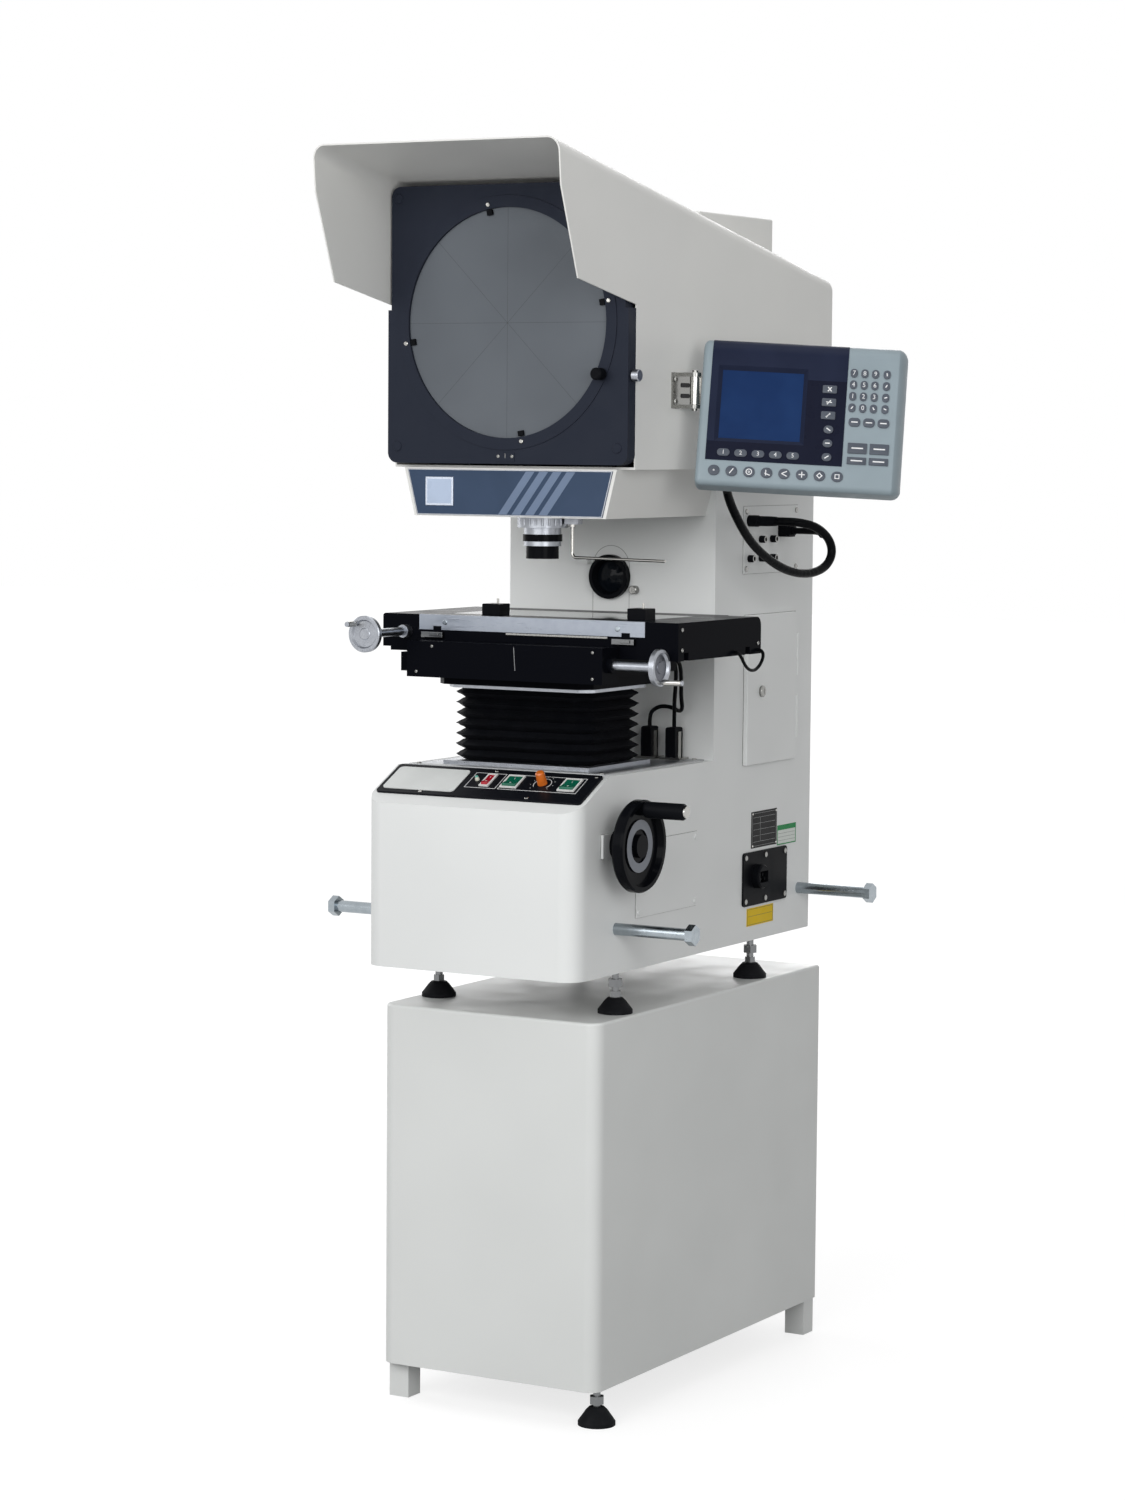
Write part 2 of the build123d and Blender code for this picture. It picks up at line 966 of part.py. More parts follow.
def make_panel():
    half_depth = panel_depth / 2
    plate = box(
        -panel_half,
        panel_half,
        panel_shift - half_depth,
        panel_shift + half_depth,
        0,
        panel_thickness,
    )
    plate = fillet(plate.edges().filter_by(Axis.Z), 5)
    rockers = [("main_rocker", red_rocker_x, red_bezel_width)]
    names = ("contour_lamp_rocker", "surface_lamp_rocker")
    for name, x in zip(names, green_rocker_x):
        rockers.append((name, x, green_bezel_width))
    rim = bezel_rim
    for name, x, width in rockers:
        half = width / 2
        y0 = fittings_shift - bezel_length / 2
        y1 = fittings_shift + bezel_length / 2
        body = (x - half + 1, x + half - 1, y0 + 1, y1 - 1)
        plate -= box(*body, -1, panel_thickness + 1)
        collar = box(x - half, x + half, y0, y1, panel_thickness, panel_thickness + bezel_height)
        collar += box(
            body[0] + fit, body[1] - fit, body[2] + fit, body[3] - fit, -14, panel_thickness
        )
        top = panel_thickness + bezel_height
        collar -= box(x - half + rim, x + half - rim, y0 + rim, y1 - rim, -11, top + 1)
        add("panel_fittings", on_slope(collar))
        add(name, on_slope(Pos(x, fittings_shift, 1) * rocker(width - 2 * rim - 2 * slide_gap)))
    up = (0, 0, 1)
    # Dimmer: pot under the plate, knob above
    plate -= rod((knob_x, fittings_shift, -1), up, 3 + fit, 6)
    pot = rod((knob_x, fittings_shift, -16), up, 10, 16)
    pot -= rod((knob_x, fittings_shift, -12), up, 3 + fit, 20)
    knob = turned(
        (knob_x, fittings_shift, 0),
        up,
        [
            (0, -11.5),
            (3, -11.5),
            (3, panel_thickness + slide_gap),
            (knob_radius, panel_thickness + slide_gap),
            (knob_radius - 0.7, panel_thickness + knob_height - 1.5),
            (knob_radius - 2, panel_thickness + knob_height),
            (0, panel_thickness + knob_height),
        ],
    )
    knob -= box(
        knob_x - 0.6,
        knob_x + 0.6,
        fittings_shift + 1,
        fittings_shift + 10,
        panel_thickness + knob_height - 1,
        panel_thickness + knob_height + 1,
    )
    add("dimmer_knob", on_slope(knob))
    # Power lamp beside the red rocker
    plate -= rod((lamp_x, fittings_shift, -1), up, 2 + fit, 6)
    pilot = turned(
        (lamp_x, fittings_shift, 0),
        up,
        [(0, -6), (2, -6), (2, 3), (3, 3), (3, 5), (2, 9), (0, 10)],
    )
    add("panel_fittings", on_slope(pot), on_slope(pilot))
    for x, y in ((-2, half_depth), (74, -half_depth), (-88, -half_depth), (148, half_depth)):
        inward = -5 if y > 0 else 5
        seat = (x, panel_shift + y + inward, panel_thickness)
        plate -= screw_hole(seat, up, radius=1.5, length=panel_thickness)
        fixing = screw(seat, up, radius=1.5, head=2.8, height=1.2, length=panel_thickness - 0.2)
        add("panel_fittings", on_slope(fixing))
    add("control_panel", on_slope(plate))


def rocker(width):
    reach = rocker_length / 2
    outline = [(-reach, 5.2), (0, 3.4), (reach, 5.2), (reach, -7), (-reach, -7)]
    blade = side_prism(outline, -width / 2, width / 2)
    drum = rod((-width / 2 - 1, 0, 0), (1, 0, 0), reach, width + 2)
    return Rot(-rocker_swing / 2, 0, 0) * (blade & drum)


def make_door():
    right = (1, 0, 0)
    up = (0, 0, 1)
    inner = base_half + slide_gap
    outer = base_half + door_depth
    sheet = cover_sheet
    door = box(inner, outer, door_front, door_rear, door_low, door_high)
    door = fillet(door.edges().group_by(Axis.X)[-1], 1.2)
    door -= box(
        inner - 1,
        outer - sheet,
        door_front + sheet,
        door_rear - sheet,
        door_low + sheet,
        door_high - sheet,
    )
    door -= rod((inner - 1, latch_y, latch_z), right, 4 + fit, 12)
    knuckle = 20
    gap = slide_gap
    for z in (door_low + 30, door_high - 30 - 3 * knuckle):
        centre = (hinge_axis_x, hinge_axis_y)
        link = box(
            hinge_axis_x - 1.2,
            hinge_axis_x + 1.2,
            door_rear - sheet,
            hinge_axis_y,
            z + knuckle + gap,
            z + 2 * knuckle - gap,
        )
        barrel = rod((*centre, z + knuckle + gap), up, hinge_radius, knuckle - 2 * gap)
        bore = rod((*centre, z), up, hinge_pin_radius + 0.05, 3 * knuckle)
        door += link + barrel
        door -= bore
        pin = rod((*centre, z), up, hinge_pin_radius, 3 * knuckle)
        leaf = pin
        for start in (z, z + 2 * knuckle):
            leaf += rod((*centre, start), up, hinge_radius, knuckle)
            leaf += box(
                base_half,
                base_half + 1.6,
                hinge_axis_y,
                hinge_axis_y + 14,
                start,
                start + knuckle,
            )
            leaf += box(
                base_half, hinge_axis_x, hinge_axis_y, hinge_axis_y + 2, start, start + knuckle
            )
        add("access_covers", leaf)
    add("column_door", door)
    cam_x = base_half - base_wall - 0.6
    latch = rod((cam_x - 2.4, latch_y, latch_z), right, 4, outer + 0.2 - cam_x + 2.4)
    latch += turned(
        (outer + 0.2, latch_y, latch_z),
        right,
        [(0, 0), (8, 0), (8, 2.5), (6.5, 4), (0, 4)],
    )
    latch += box(cam_x - 2.4, cam_x, latch_y - 6, latch_y + 6, latch_z - 4, latch_z + 38)
    latch -= box(outer + 3.4, outer + 6, latch_y - 0.7, latch_y + 0.7, latch_z - 4, latch_z + 4)
    add("door_latch", latch)


def roof(y):
    return hood_top + (y - hood_front) * (roof_rear_z - hood_top) / (casing_rear - hood_front)


def side_roof_edges(shape, drop):
    """The two long edges under the roof's slope, where it meets the side walls."""
    found = []
    for edge in shape.edges():
        middle = edge.center()
        sloping = edge.length > casing_half * 2 + 1
        if sloping and abs(middle.Z + drop - roof(middle.Y)) < 1:
            found.append(edge)
    return found


def make_head():
    outline = [
        (hood_front, hood_top),
        (casing_rear, roof_rear_z),
        (casing_rear, column_top),
        (casing_front, column_top),
        (casing_front, hood_root_z),
        (hood_root_y, hood_root_z),
        (hood_low_y, hood_low_z),
        (hood_mid_y, hood_mid_z),
    ]
    outer = side_prism(outline, -casing_half, casing_half)
    outer = fillet(side_roof_edges(outer, 0), roof_edge_radius)
    sheet = casing_sheet
    drop = sheet / math.cos(math.atan2(hood_top - roof_rear_z, casing_rear - hood_front))
    far = hood_front - 60
    back = casing_rear - sheet
    core_outline = [
        (far, roof(far) - drop),
        (back, roof(back) - drop),
        (back, column_top - 1),
        (far, column_top - 1),
    ]
    core = side_prism(core_outline, -casing_half + sheet, casing_half - sheet)
    core = fillet(side_roof_edges(core, drop), roof_edge_radius - sheet)
    shell = outer - core
    shell -= box(
        -mirror_box_half + sheet,
        mirror_box_half - sheet,
        mirror_box_front + sheet,
        mirror_box_rear - sheet,
        roof_rear_z - 30,
        hood_top,
    )
    floor = box(
        -casing_half + sheet,
        casing_half - sheet,
        casing_front,
        back,
        column_top,
        column_top + casing_floor,
    )
    floor -= box(
        -light_slot_half,
        light_slot_half,
        light_slot_front,
        light_slot_rear,
        column_top - 1,
        column_top + 10,
    )
    shell += floor
    add("head_casing", shell)

    cover = box(
        -mirror_box_half,
        mirror_box_half,
        mirror_box_front,
        mirror_box_rear,
        roof_rear_z - 20,
        mirror_box_top,
    )
    cover = fillet(cover.edges().group_by(Axis.Z)[-1], 3)
    cover -= box(
        -mirror_box_half + sheet,
        mirror_box_half - sheet,
        mirror_box_front + sheet,
        mirror_box_rear - sheet,
        roof_rear_z - 30,
        mirror_box_top - sheet,
    )
    end = casing_rear + 20
    under = side_prism(
        [(far, roof(far)), (end, roof(end)), (end, screen_frame_bottom), (far, screen_frame_bottom)],
        -casing_half,
        casing_half,
    )
    add("mirror_box_cover", cover - under)

    # Chin under the casing, tapering towards the lens
    def chin_form(inset, top, bottom):
        lean = (chin_half_top - chin_half_bottom) / chin_drop
        wide = chin_half_top - inset + lean * (top - column_top)
        narrow = chin_half_top - inset + lean * (bottom - column_top)
        points = [(-wide, top), (wide, top), (narrow, bottom), (-narrow, bottom)]
        return front_prism(points, chin_front + inset, column_front - inset)

    chin = chin_form(0, column_top, chin_bottom)
    chin -= chin_form(chin_wall, column_top + 1, chin_bottom + chin_wall)
    chin -= rod((0, lens_y, chin_bottom - 1), (0, 0, 1), mount_radius - 6 + fit, 10)
    add("chin_housing", chin)


def make_screen():
    back = (0, 1, 0)
    front = (0, -1, 0)
    rear = screen_front + screen_frame_thickness
    roof_clearance = 3.5
    top = roof(rear) - roof_clearance - casing_sheet
    step = hood_root_z - 5
    half = screen_frame_half
    upper = screen_frame_upper_half
    plate = box(-half, half, screen_front, rear, screen_frame_bottom, step)
    low_edges = plate.edges().filter_by(Axis.Y).group_by(Axis.Z)[0]
    plate = fillet(low_edges, screen_frame_corner)
    head = box(-upper, upper, screen_front, rear, step, top)
    head = fillet(head.edges().filter_by(Axis.Y).group_by(Axis.Z)[-1], screen_frame_corner)
    plate += head
    centre = (0, screen_front - 5, screen_z)
    plate -= rod(centre, back, ring_radius - 5, 40)
    plate -= rod(centre, back, ring_radius + slide_gap, 5 + ring_depth + slide_gap)
    # Hole of the lock screw, index plate under the ring and four corner plugs
    right = (1, 0, 0)
    plate -= rod((half - 10, ring_lock_y, ring_lock_z), right, 2.5 + fit, 11)
    index = box(
        -14, 14, screen_front - 0.8, screen_front, screen_frame_bottom + 3, screen_frame_bottom + 15
    )
    add("screen_frame", plate, index)
    places = [(-half + 15, 22), (half - 15, 22), (-upper + 11, top - screen_frame_bottom - 16)]
    places.append((upper - 11, top - screen_frame_bottom - 16))
    for x, lift in places:
        z = screen_frame_bottom + lift
        plug = turned((x, screen_front, z), front, [(0, 0), (7, 0), (6, 1.5), (0, 1.5)])
        add("screen_frame", plug)

    # Ring with a rear lip; the glass lies in front of the lip
    ring_front = screen_front - ring_proud
    ring_rear = screen_front + ring_depth
    lip_front = ring_front + glass_inset + screen_glass_thickness
    ring = turned(
        (0, ring_front, screen_z),
        back,
        [
            (screen_radius + 0.15, 0),
            (ring_radius, 0),
            (ring_radius, ring_rear - ring_front),
            (screen_radius - ring_lip, ring_rear - ring_front),
            (screen_radius - ring_lip, lip_front - ring_front),
            (screen_radius + 0.15, lip_front - ring_front),
        ],
    )
    glass = rod(
        (0, ring_front + glass_inset, screen_z), back, screen_radius, screen_glass_thickness
    )
    add("screen_glass", glass)
    for angle in (10.1, 100.4, 189.7, 279.1):
        turn = math.radians(angle)
        x = clip_circle * math.cos(turn)
        z = screen_z + clip_circle * math.sin(turn)
        seat = (x, ring_front, z)
        head = screw(seat, front, radius=1.5, head=3, height=2, length=4)
        ring -= screw_hole(seat, front, radius=1.5, length=4)
        add("ring_fittings", head)
        finger = Pos(0, 0, screen_z) * Rot(0, -angle, 0) * box(
            clip_circle - 14, clip_circle - 7, ring_front, ring_front + glass_inset, -4, 4
        )
        add("ring_fittings", finger)
    turn = math.radians(ring_knob_angle)
    knob_seat = (
        ring_knob_circle * math.cos(turn),
        ring_front,
        screen_z + ring_knob_circle * math.sin(turn),
    )
    knob = turned(
        knob_seat,
        front,
        [(0, 0), (4, 0), (4, 4), (ring_knob_radius, 4), (ring_knob_radius, 18), (6, 20), (0, 20)],
    )
    knob += rod(knob_seat, back, 2, 5)
    ring -= rod(knob_seat, back, 2 + 0.02, 6)
    add("ring_fittings", knob)
    add("screen_ring", ring)
    # Knurled lock screw in the right edge of the frame
    seat = (half, ring_lock_y, ring_lock_z)
    lock = turned(
        seat,
        right,
        [(0, -9.5), (2.5, -9.5), (2.5, 1), (4, 1), (4, 3), (8, 3), (8, 11), (7, 12), (0, 12)],
    )
    add("ring_lock_knob", lock)


def make_lens():
    down = (0, 0, -1)
    up = (0, 0, 1)
    top = chin_bottom
    mount = turned(
        (0, lens_y, top),
        down,
        [
            (lens_silver_radius - 5 + fit, -14),
            (mount_radius - 6, -14),
            (mount_radius - 6, 0),
            (mount_radius, 0),
            (mount_radius, mount_height),
            (lens_silver_radius - 5 + fit, mount_height),
        ],
    )
    flutes = 24
    for i in range(flutes):
        turn = 2 * math.pi * i / flutes
        x = (mount_radius + 0.6) * math.cos(turn)
        y = lens_y + (mount_radius + 0.6) * math.sin(turn)
        mount -= rod((x, y, mount_bottom + 3), up, 1.8, mount_height - 6)
    heights = [lens_ring_height, lens_band_height, lens_neck_height, lens_barrel_height]
    radii = [lens_silver_radius, lens_band_radius, lens_silver_radius, lens_barrel_radius]
    profile = [(lens_silver_radius - 5, -12), (lens_silver_radius - 5, 0)]
    level = 0
    for radius, height in zip(radii, heights):
        profile.append((radius, level))
        level += height
        profile.append((radius, level))
    bore = lens_barrel_radius - 5
    profile += [(bore, level), (bore, level - 3), (0, level - 3), (0, -8), (14, -8), (14, -12)]
    lens = turned((0, lens_y, mount_bottom), down, profile)
    add("lens_mount", mount)
    add("projection_lens", lens)

    # Swing rod: upright in its bracket, then level towards the right
    bracket = box(mount_radius + 2, rod_x + 12, rod_y - 6, rod_y + 6, chin_bottom - 10, chin_bottom)
    bracket -= rod((rod_x, rod_y, chin_bottom - 11), up, rod_radius + 0.05, 30)
    add("lens_mount", bracket)
    start = chin_bottom - 1
    low = chin_bottom - rod_drop
    line = FilletPolyline(
        (rod_x, rod_y, start), (rod_x, rod_y, low), (rod_tip[0], rod_tip[1], low - 1), radius=7
    )
    section = Plane(origin=(rod_x, rod_y, start), z_dir=down) * Circle(rod_radius)
    wire = sweep(section, path=line)
    collar = rod((rod_x, rod_y, chin_bottom - 10 - slide_gap - 3), up, 4, 3)
    add("swing_rod", wire + collar)


def make_surface_lamp():
    back = (0, 1, 0)
    face = column_front - slide_gap
    front = face - lamp_flange
    body = turned(
        (0, front, lamp_z),
        back,
        [
            (lamp_flange_radius - 1, 0),
            (lamp_flange_radius, 1),
            (lamp_flange_radius, lamp_flange),
            (lamp_tube_radius, lamp_flange),
            (lamp_tube_radius, lamp_tube_length),
            (0, lamp_tube_length),
            (0, lamp_tube_length - 3),
            (lamp_tube_bore, lamp_tube_length - 3),
            (lamp_tube_bore, 8),
            (lamp_tube_bore + 4, 0),
        ],
    )
    lens = turned(
        (0, front + 8, lamp_z),
        back,
        [(0, -2), (10, -1), (lamp_tube_bore - 0.05, 1.5), (lamp_tube_bore - 0.05, 5), (0, 5)],
    )
    add("surface_lamp", body, lens)
    seat = (lock_x, column_front - slide_gap, lock_z)
    knob = turned(
        seat,
        (0, -1, 0),
        [(0, -9), (2.5, -9), (2.5, 0), (6, 0), (6, 9), (5, 10), (0, 10)],
    )
    add("lamp_lock_knob", knob)


def make_mirrors():
    # First mirror over the lens, in two cheeks that stand on the casing floor
    floor = column_top + casing_floor
    tilt = Plane(
        origin=(0, lens_y, first_mirror_z),
        x_dir=(1, 0, 0),
        z_dir=(
            0,
            math.sin(math.radians(first_mirror_tilt)),
            -math.cos(math.radians(first_mirror_tilt)),
        ),
    )
    half = first_mirror_half
    slot = light_slot_half
    wide = slot - slide_gap
    plate = tilt.location * box(-wide, wide, -half, half, -mirror_glass, 0)
    add("mirrors", plate)
    reach = half * math.sin(math.radians(first_mirror_tilt))
    for x0, x1 in ((slot, slot + 4), (-slot - 4, -slot)):
        cheek = side_prism(
            [
                (lens_y - 50, floor),
                (lens_y + 50, floor),
                (lens_y + 50, first_mirror_z + reach),
                (lens_y + 20, first_mirror_z + reach),
                (lens_y - 50, first_mirror_z - reach + 30),
            ],
            x0,
            x1,
        )
        add("mirrors", cheek)

    # Rear mirror on a backing plate, carried by two cheeks on the rear wall
    lean = math.radians(rear_mirror_tilt)
    place = Plane(
        origin=(0, rear_mirror_y, screen_z),
        x_dir=(1, 0, 0),
        z_dir=(0, -math.cos(lean), -math.sin(lean)),
    ).location
    wide = rear_mirror_half_x
    tall = rear_mirror_half
    glass = place * box(-wide, wide, -tall, tall, -mirror_glass, 0)
    backing = place * box(-wide, wide, -tall, tall, -mirror_glass - 4, -mirror_glass)
    add("mirrors", glass)
    wall = casing_rear - casing_sheet
    depth = mirror_glass + 4
    cheek_high = screen_z + 60
    cheek_low = screen_z - 90
    behind = box(-wide + 10, -wide + 16, rear_mirror_y - 30, wall, cheek_low, cheek_high)
    behind += mirrored(behind)
    cutter = place * box(-200, 200, -300, 300, -depth, 300)
    add("mirrors", backing + (behind - cutter))


def make_inside():
    up = (0, 0, 1)
    right = (1, 0, 0)
    back = (0, 1, 0)
    # Lift guide under the base top, and the drive bracket with its two bearings
    inner_top = base_top - base_wall
    guide = rod((0, lens_y, guide_bottom), up, guide_radius, inner_top - guide_bottom)
    guide += rod((0, lens_y, inner_top - guide_flange), up, guide_flange_radius, guide_flange)
    guide -= rod((0, lens_y, guide_bottom - 1), up, column_tube_radius + fit, 100)
    stand_x = bevel_far + 8
    bracket = box(
        stand_x, stand_x + 14, wheel_y - 21.5, wheel_y + 20.5, plate_top, wheel_z + 23.5
    )
    arm_top = wheel_z - bevel_far - 8.5
    bracket += box(-14, stand_x, wheel_y - 20.5, wheel_y + 20.5, arm_top - 16, arm_top)
    bracket -= rod((stand_x - 1, wheel_y, wheel_z), right, wheel_shaft_radius + fit, 20)
    bracket -= rod((0, wheel_y, arm_top - 20), up, screw_radius + fit, 30)
    add("lift_guide", guide, bracket)

    # Hollow lift column with the hanging nut
    tube_length = knee_bottom - column_tube_bottom
    tube = rod((0, lens_y, column_tube_bottom), up, column_tube_radius, tube_length)
    arm = box(
        -nut_half,
        nut_half,
        hanger_front,
        lens_y - column_tube_bore - 1,
        column_tube_bottom,
        column_tube_bottom + hanger_arm,
    )
    hanger = box(
        -nut_half, nut_half, hanger_front, hanger_rear, nut_bottom, column_tube_bottom + hanger_arm
    )
    nut = box(
        -nut_half, nut_half, wheel_y - 20.5, hanger_rear, nut_bottom, nut_bottom + nut_thickness
    )
    nut -= rod((0, wheel_y, nut_bottom - 1), up, screw_radius + fit, nut_thickness + 2)
    column = tube + arm + hanger + nut
    column -= rod((0, lens_y, column_tube_bottom - 1), up, column_tube_bore, 400)
    add("lift_column", column)

    # Upright screw with its bevel gear
    gear_seat = wheel_z - bevel_far
    screw_shape = rod((0, wheel_y, plate_top + 1.2), up, screw_radius, gear_seat - plate_top - 1.2)
    add("lift_screw", screw_shape + bevel_gear((0, wheel_y, wheel_z), (0, 0, -1), 0))

    # Lamp house with its condenser, and the mirror that turns the light upwards
    beam = plate_top + 36
    house = box(-45, 45, 40, 170, plate_top, plate_top + 84)
    house -= box(-42, 42, 43, 167, plate_top + 3, plate_top + 81)
    house -= rod((0, 30, beam), back, 30, 20)
    tube = rod((0, -100, beam), back, 30, 141) - rod((0, -101, beam), back, 26, 150)
    lens = rod((0, -96, beam), back, 26, 8)
    bulb_outline = [(0, 0), (9, 0), (9, 18), (6, 22), (6, 38), (0, 43)]
    bulb = turned((0, 105, plate_top + 3), up, bulb_outline)
    fold = side_prism(
        [
            (lens_y - 30, plate_top),
            (lens_y + 36, plate_top),
            (lens_y + 36, plate_top + 4),
            (lens_y - 26, plate_top + 66),
            (lens_y - 30, plate_top + 66),
        ],
        -32,
        32,
    )
    add("lamp_house", house + tube, lens, bulb, fold)
    fan_front = base_rear - base_wall - fan_depth
    frame = box(
        fan_x - fan_size / 2,
        fan_x + fan_size / 2,
        fan_front,
        base_rear - base_wall,
        fan_z - fan_size / 2,
        fan_z + fan_size / 2,
    )
    frame -= rod((fan_x, fan_front - 1, fan_z), back, fan_size / 2 - fan_wall, fan_depth + 2)
    spider_y = base_rear - base_wall - 3
    motor = rod((fan_x, spider_y - 2, fan_z), back, 15, 5)
    for turn in (45, 135):
        motor += Pos(fan_x, spider_y + 1.5, fan_z) * Rot(0, turn, 0) * Box(fan_size - 4, 3, 5)
    motor += rod((fan_x, fan_front + 3, fan_z), back, 2, spider_y - fan_front - 3)
    add("lamp_house", frame + motor)
    rotor = rod((fan_x, fan_front + 2, fan_z), back, 17, spider_y - 2.3 - fan_front - 2)
    for i in range(7):
        blade = Rot(28, 0, 0) * Box(24.5, 1.6, 15)
        blade = Pos(28, 0, 0) * blade
        rotor += Pos(fan_x, fan_front + 10.5, fan_z) * Rot(0, i * 360 / 7, 0) * blade
    rotor -= rod((fan_x, fan_front - 1, fan_z), back, 2.05, fan_depth)
    add("fan_rotor", rotor)
    supply = box(
        supply_left, supply_right, supply_front, supply_rear, plate_top, plate_top + supply_height
    )
    add("power_supply", supply)


def bevel_gear(apex, direction, phase):
    far = bevel_far
    near = bevel_near
    root = 2
    tip = 1.2
    ratio = near / far
    back = far + 7
    blank = [
        (0, near),
        (far * ratio - root * ratio, near),
        (far - root, far),
        (13, far),
        (13, back),
        (0, back),
    ]
    gear = turned(apex, direction, blank)
    place = Plane(origin=apex, z_dir=direction).location
    for i in range(bevel_teeth):
        low = []
        high = []
        for r, half in ((far - root - 0.5, 1.5), (far + tip, 0.8)):
            for side in (-1, 1):
                low.append((r, side * half, far))
                high.append((r * ratio, side * half * ratio, near))
        order = (0, 1, 3, 2)
        big = make_face(Polyline(*[low[k] for k in order], close=True))
        small = make_face(Polyline(*[high[k] for k in order], close=True))
        tooth = loft([big, small], ruled=True)
        gear += place * Rot(0, 0, phase + i * 360 / bevel_teeth) * tooth
    return gear


def make_focus_wheel():
    right = (1, 0, 0)
    seat = base_half + wheel_plate_thickness + slide_gap
    rear = base_half + wheel_offset
    front = rear + wheel_rim_width
    rim = wheel_rim_radius
    bore = wheel_shaft_radius + 0.02
    profile = [
        (0, front - 8),
        (bore, front - 8),
        (bore, seat),
        (21, seat),
        (18, rear - 1),
        (50, rear + 2),
        (53, rear),
        (rim - 2, rear),
        (rim, rear + 3),
        (rim, front - 3),
        (rim - 2, front),
        (53, front),
        (50, front - 8),
        (34.5, front - 9),
        (34.5, front - 7),
        (22.2, front - 7),
        (22.2, front - 9),
        (15.3, front - 9),
        (15.3, front - 3),
        (0, front - 3),
    ]
    wheel = turned((0, wheel_y, wheel_z), right, profile)
    pin_z = wheel_z + wheel_crank_radius
    grip_start = front + slide_gap
    grip_end = grip_start + wheel_grip_length
    wheel += rod((rear + 3, wheel_y, pin_z), right, 8, front - rear - 3)
    wheel += rod((front - 4, wheel_y, pin_z), right, 5, grip_end + slide_gap - front + 4)
    wheel += rod((grip_end + slide_gap, wheel_y, pin_z), right, 8, 2)
    shaft_start = bevel_near - 1
    shaft = rod(
        (shaft_start, wheel_y, wheel_z), right, wheel_shaft_radius, front - 8.2 - shaft_start
    )
    pinion = bevel_gear((0, wheel_y, wheel_z), right, 180 / bevel_teeth)
    add("z_handwheel", wheel, shaft + pinion)
    grip = turned(
        (grip_start, wheel_y, pin_z),
        right,
        [
            (5 + fit, 0),
            (wheel_grip_radius - 2, 0),
            (wheel_grip_radius, 3),
            (wheel_grip_radius, wheel_grip_length - 3),
            (wheel_grip_radius - 2, wheel_grip_length),
            (5 + fit, wheel_grip_length),
        ],
    )
    add("z_wheel_grip", grip)


def small_wheel(name, grip_name, centre, direction, shaft_length, sideways, grip_length):
    thick = small_wheel_thickness
    radius = small_wheel_radius
    profile = [
        (0, 0),
        (x_shaft_radius + 2, 0),
        (x_shaft_radius + 4, 4),
        (radius - 4, thick - 9),
        (radius, thick - 7),
        (radius, thick - 1),
        (radius - 1, thick),
        (radius - 5, thick),
        (radius - 7, thick - 3),
        (8, thick - 3),
        (7, thick - 2),
        (0, thick - 2),
    ]
    wheel = turned(centre, direction, profile)
    inward = tuple(-v for v in direction)
    wheel += rod(centre, inward, x_shaft_radius, shaft_length)
    face = [c + d * thick for c, d in zip(centre, direction)]
    pin = tuple(f + s * crank_radius for f, s in zip(face, sideways))
    root = tuple(p - d * 6 for p, d in zip(pin, direction))
    gap = slide_gap
    grip_end = gap + grip_length - 2
    wheel += rod(root, direction, crank_pin_radius, 6 + grip_end + gap)
    cap = tuple(p + d * (grip_end + gap) for p, d in zip(pin, direction))
    wheel += rod(cap, direction, crank_grip_radius - 0.6, 1.4)
    start = tuple(p + d * gap for p, d in zip(pin, direction))
    grip = turned(
        start,
        direction,
        [
            (crank_pin_radius + fit, 0),
            (crank_grip_radius - 1, 0),
            (crank_grip_radius, 4),
            (crank_grip_radius - 0.4, grip_length - 2 - gap * 0.1),
            (crank_pin_radius + fit, grip_length - 2 - gap * 0.1),
        ],
    )
    add(name, wheel)
    add(grip_name, grip)


def make_bellows():
    def ring(z, inset):
        half = bellows_half - inset
        y0 = bellows_front + inset
        y1 = bellows_rear - inset
        c = bellows_chamfer
        points = [
            (-half + c, y0, z),
            (half - c, y0, z),
            (half, y0 + c, z),
            (half, y1 - c, z),
            (half - c, y1, z),
            (-half + c, y1, z),
            (-half, y1 - c, z),
            (-half, y0 + c, z),
        ]
        return make_face(Polyline(*points, close=True))

    gap = slide_gap
    pitch = (bellows_height - 2 * gap) / bellows_pleats
    sections = []
    for i in range(bellows_pleats):
        z = bellows_bottom + gap + i * pitch
        sections.append(ring(z, pleat_depth))
        sections.append(ring(z + pitch / 2, 0))
    sections.append(ring(bellows_top - gap, pleat_depth))
    solid = loft(sections, ruled=True)
    wall = pleat_depth + bellows_wall
    core = box(
        -bellows_half + wall,
        bellows_half - wall,
        bellows_front + wall,
        bellows_rear - wall,
        bellows_bottom - 1,
        bellows_top + 1,
    )
    core = fillet(core.edges().filter_by(Axis.Z), 6)
    add("bellows", solid - core)


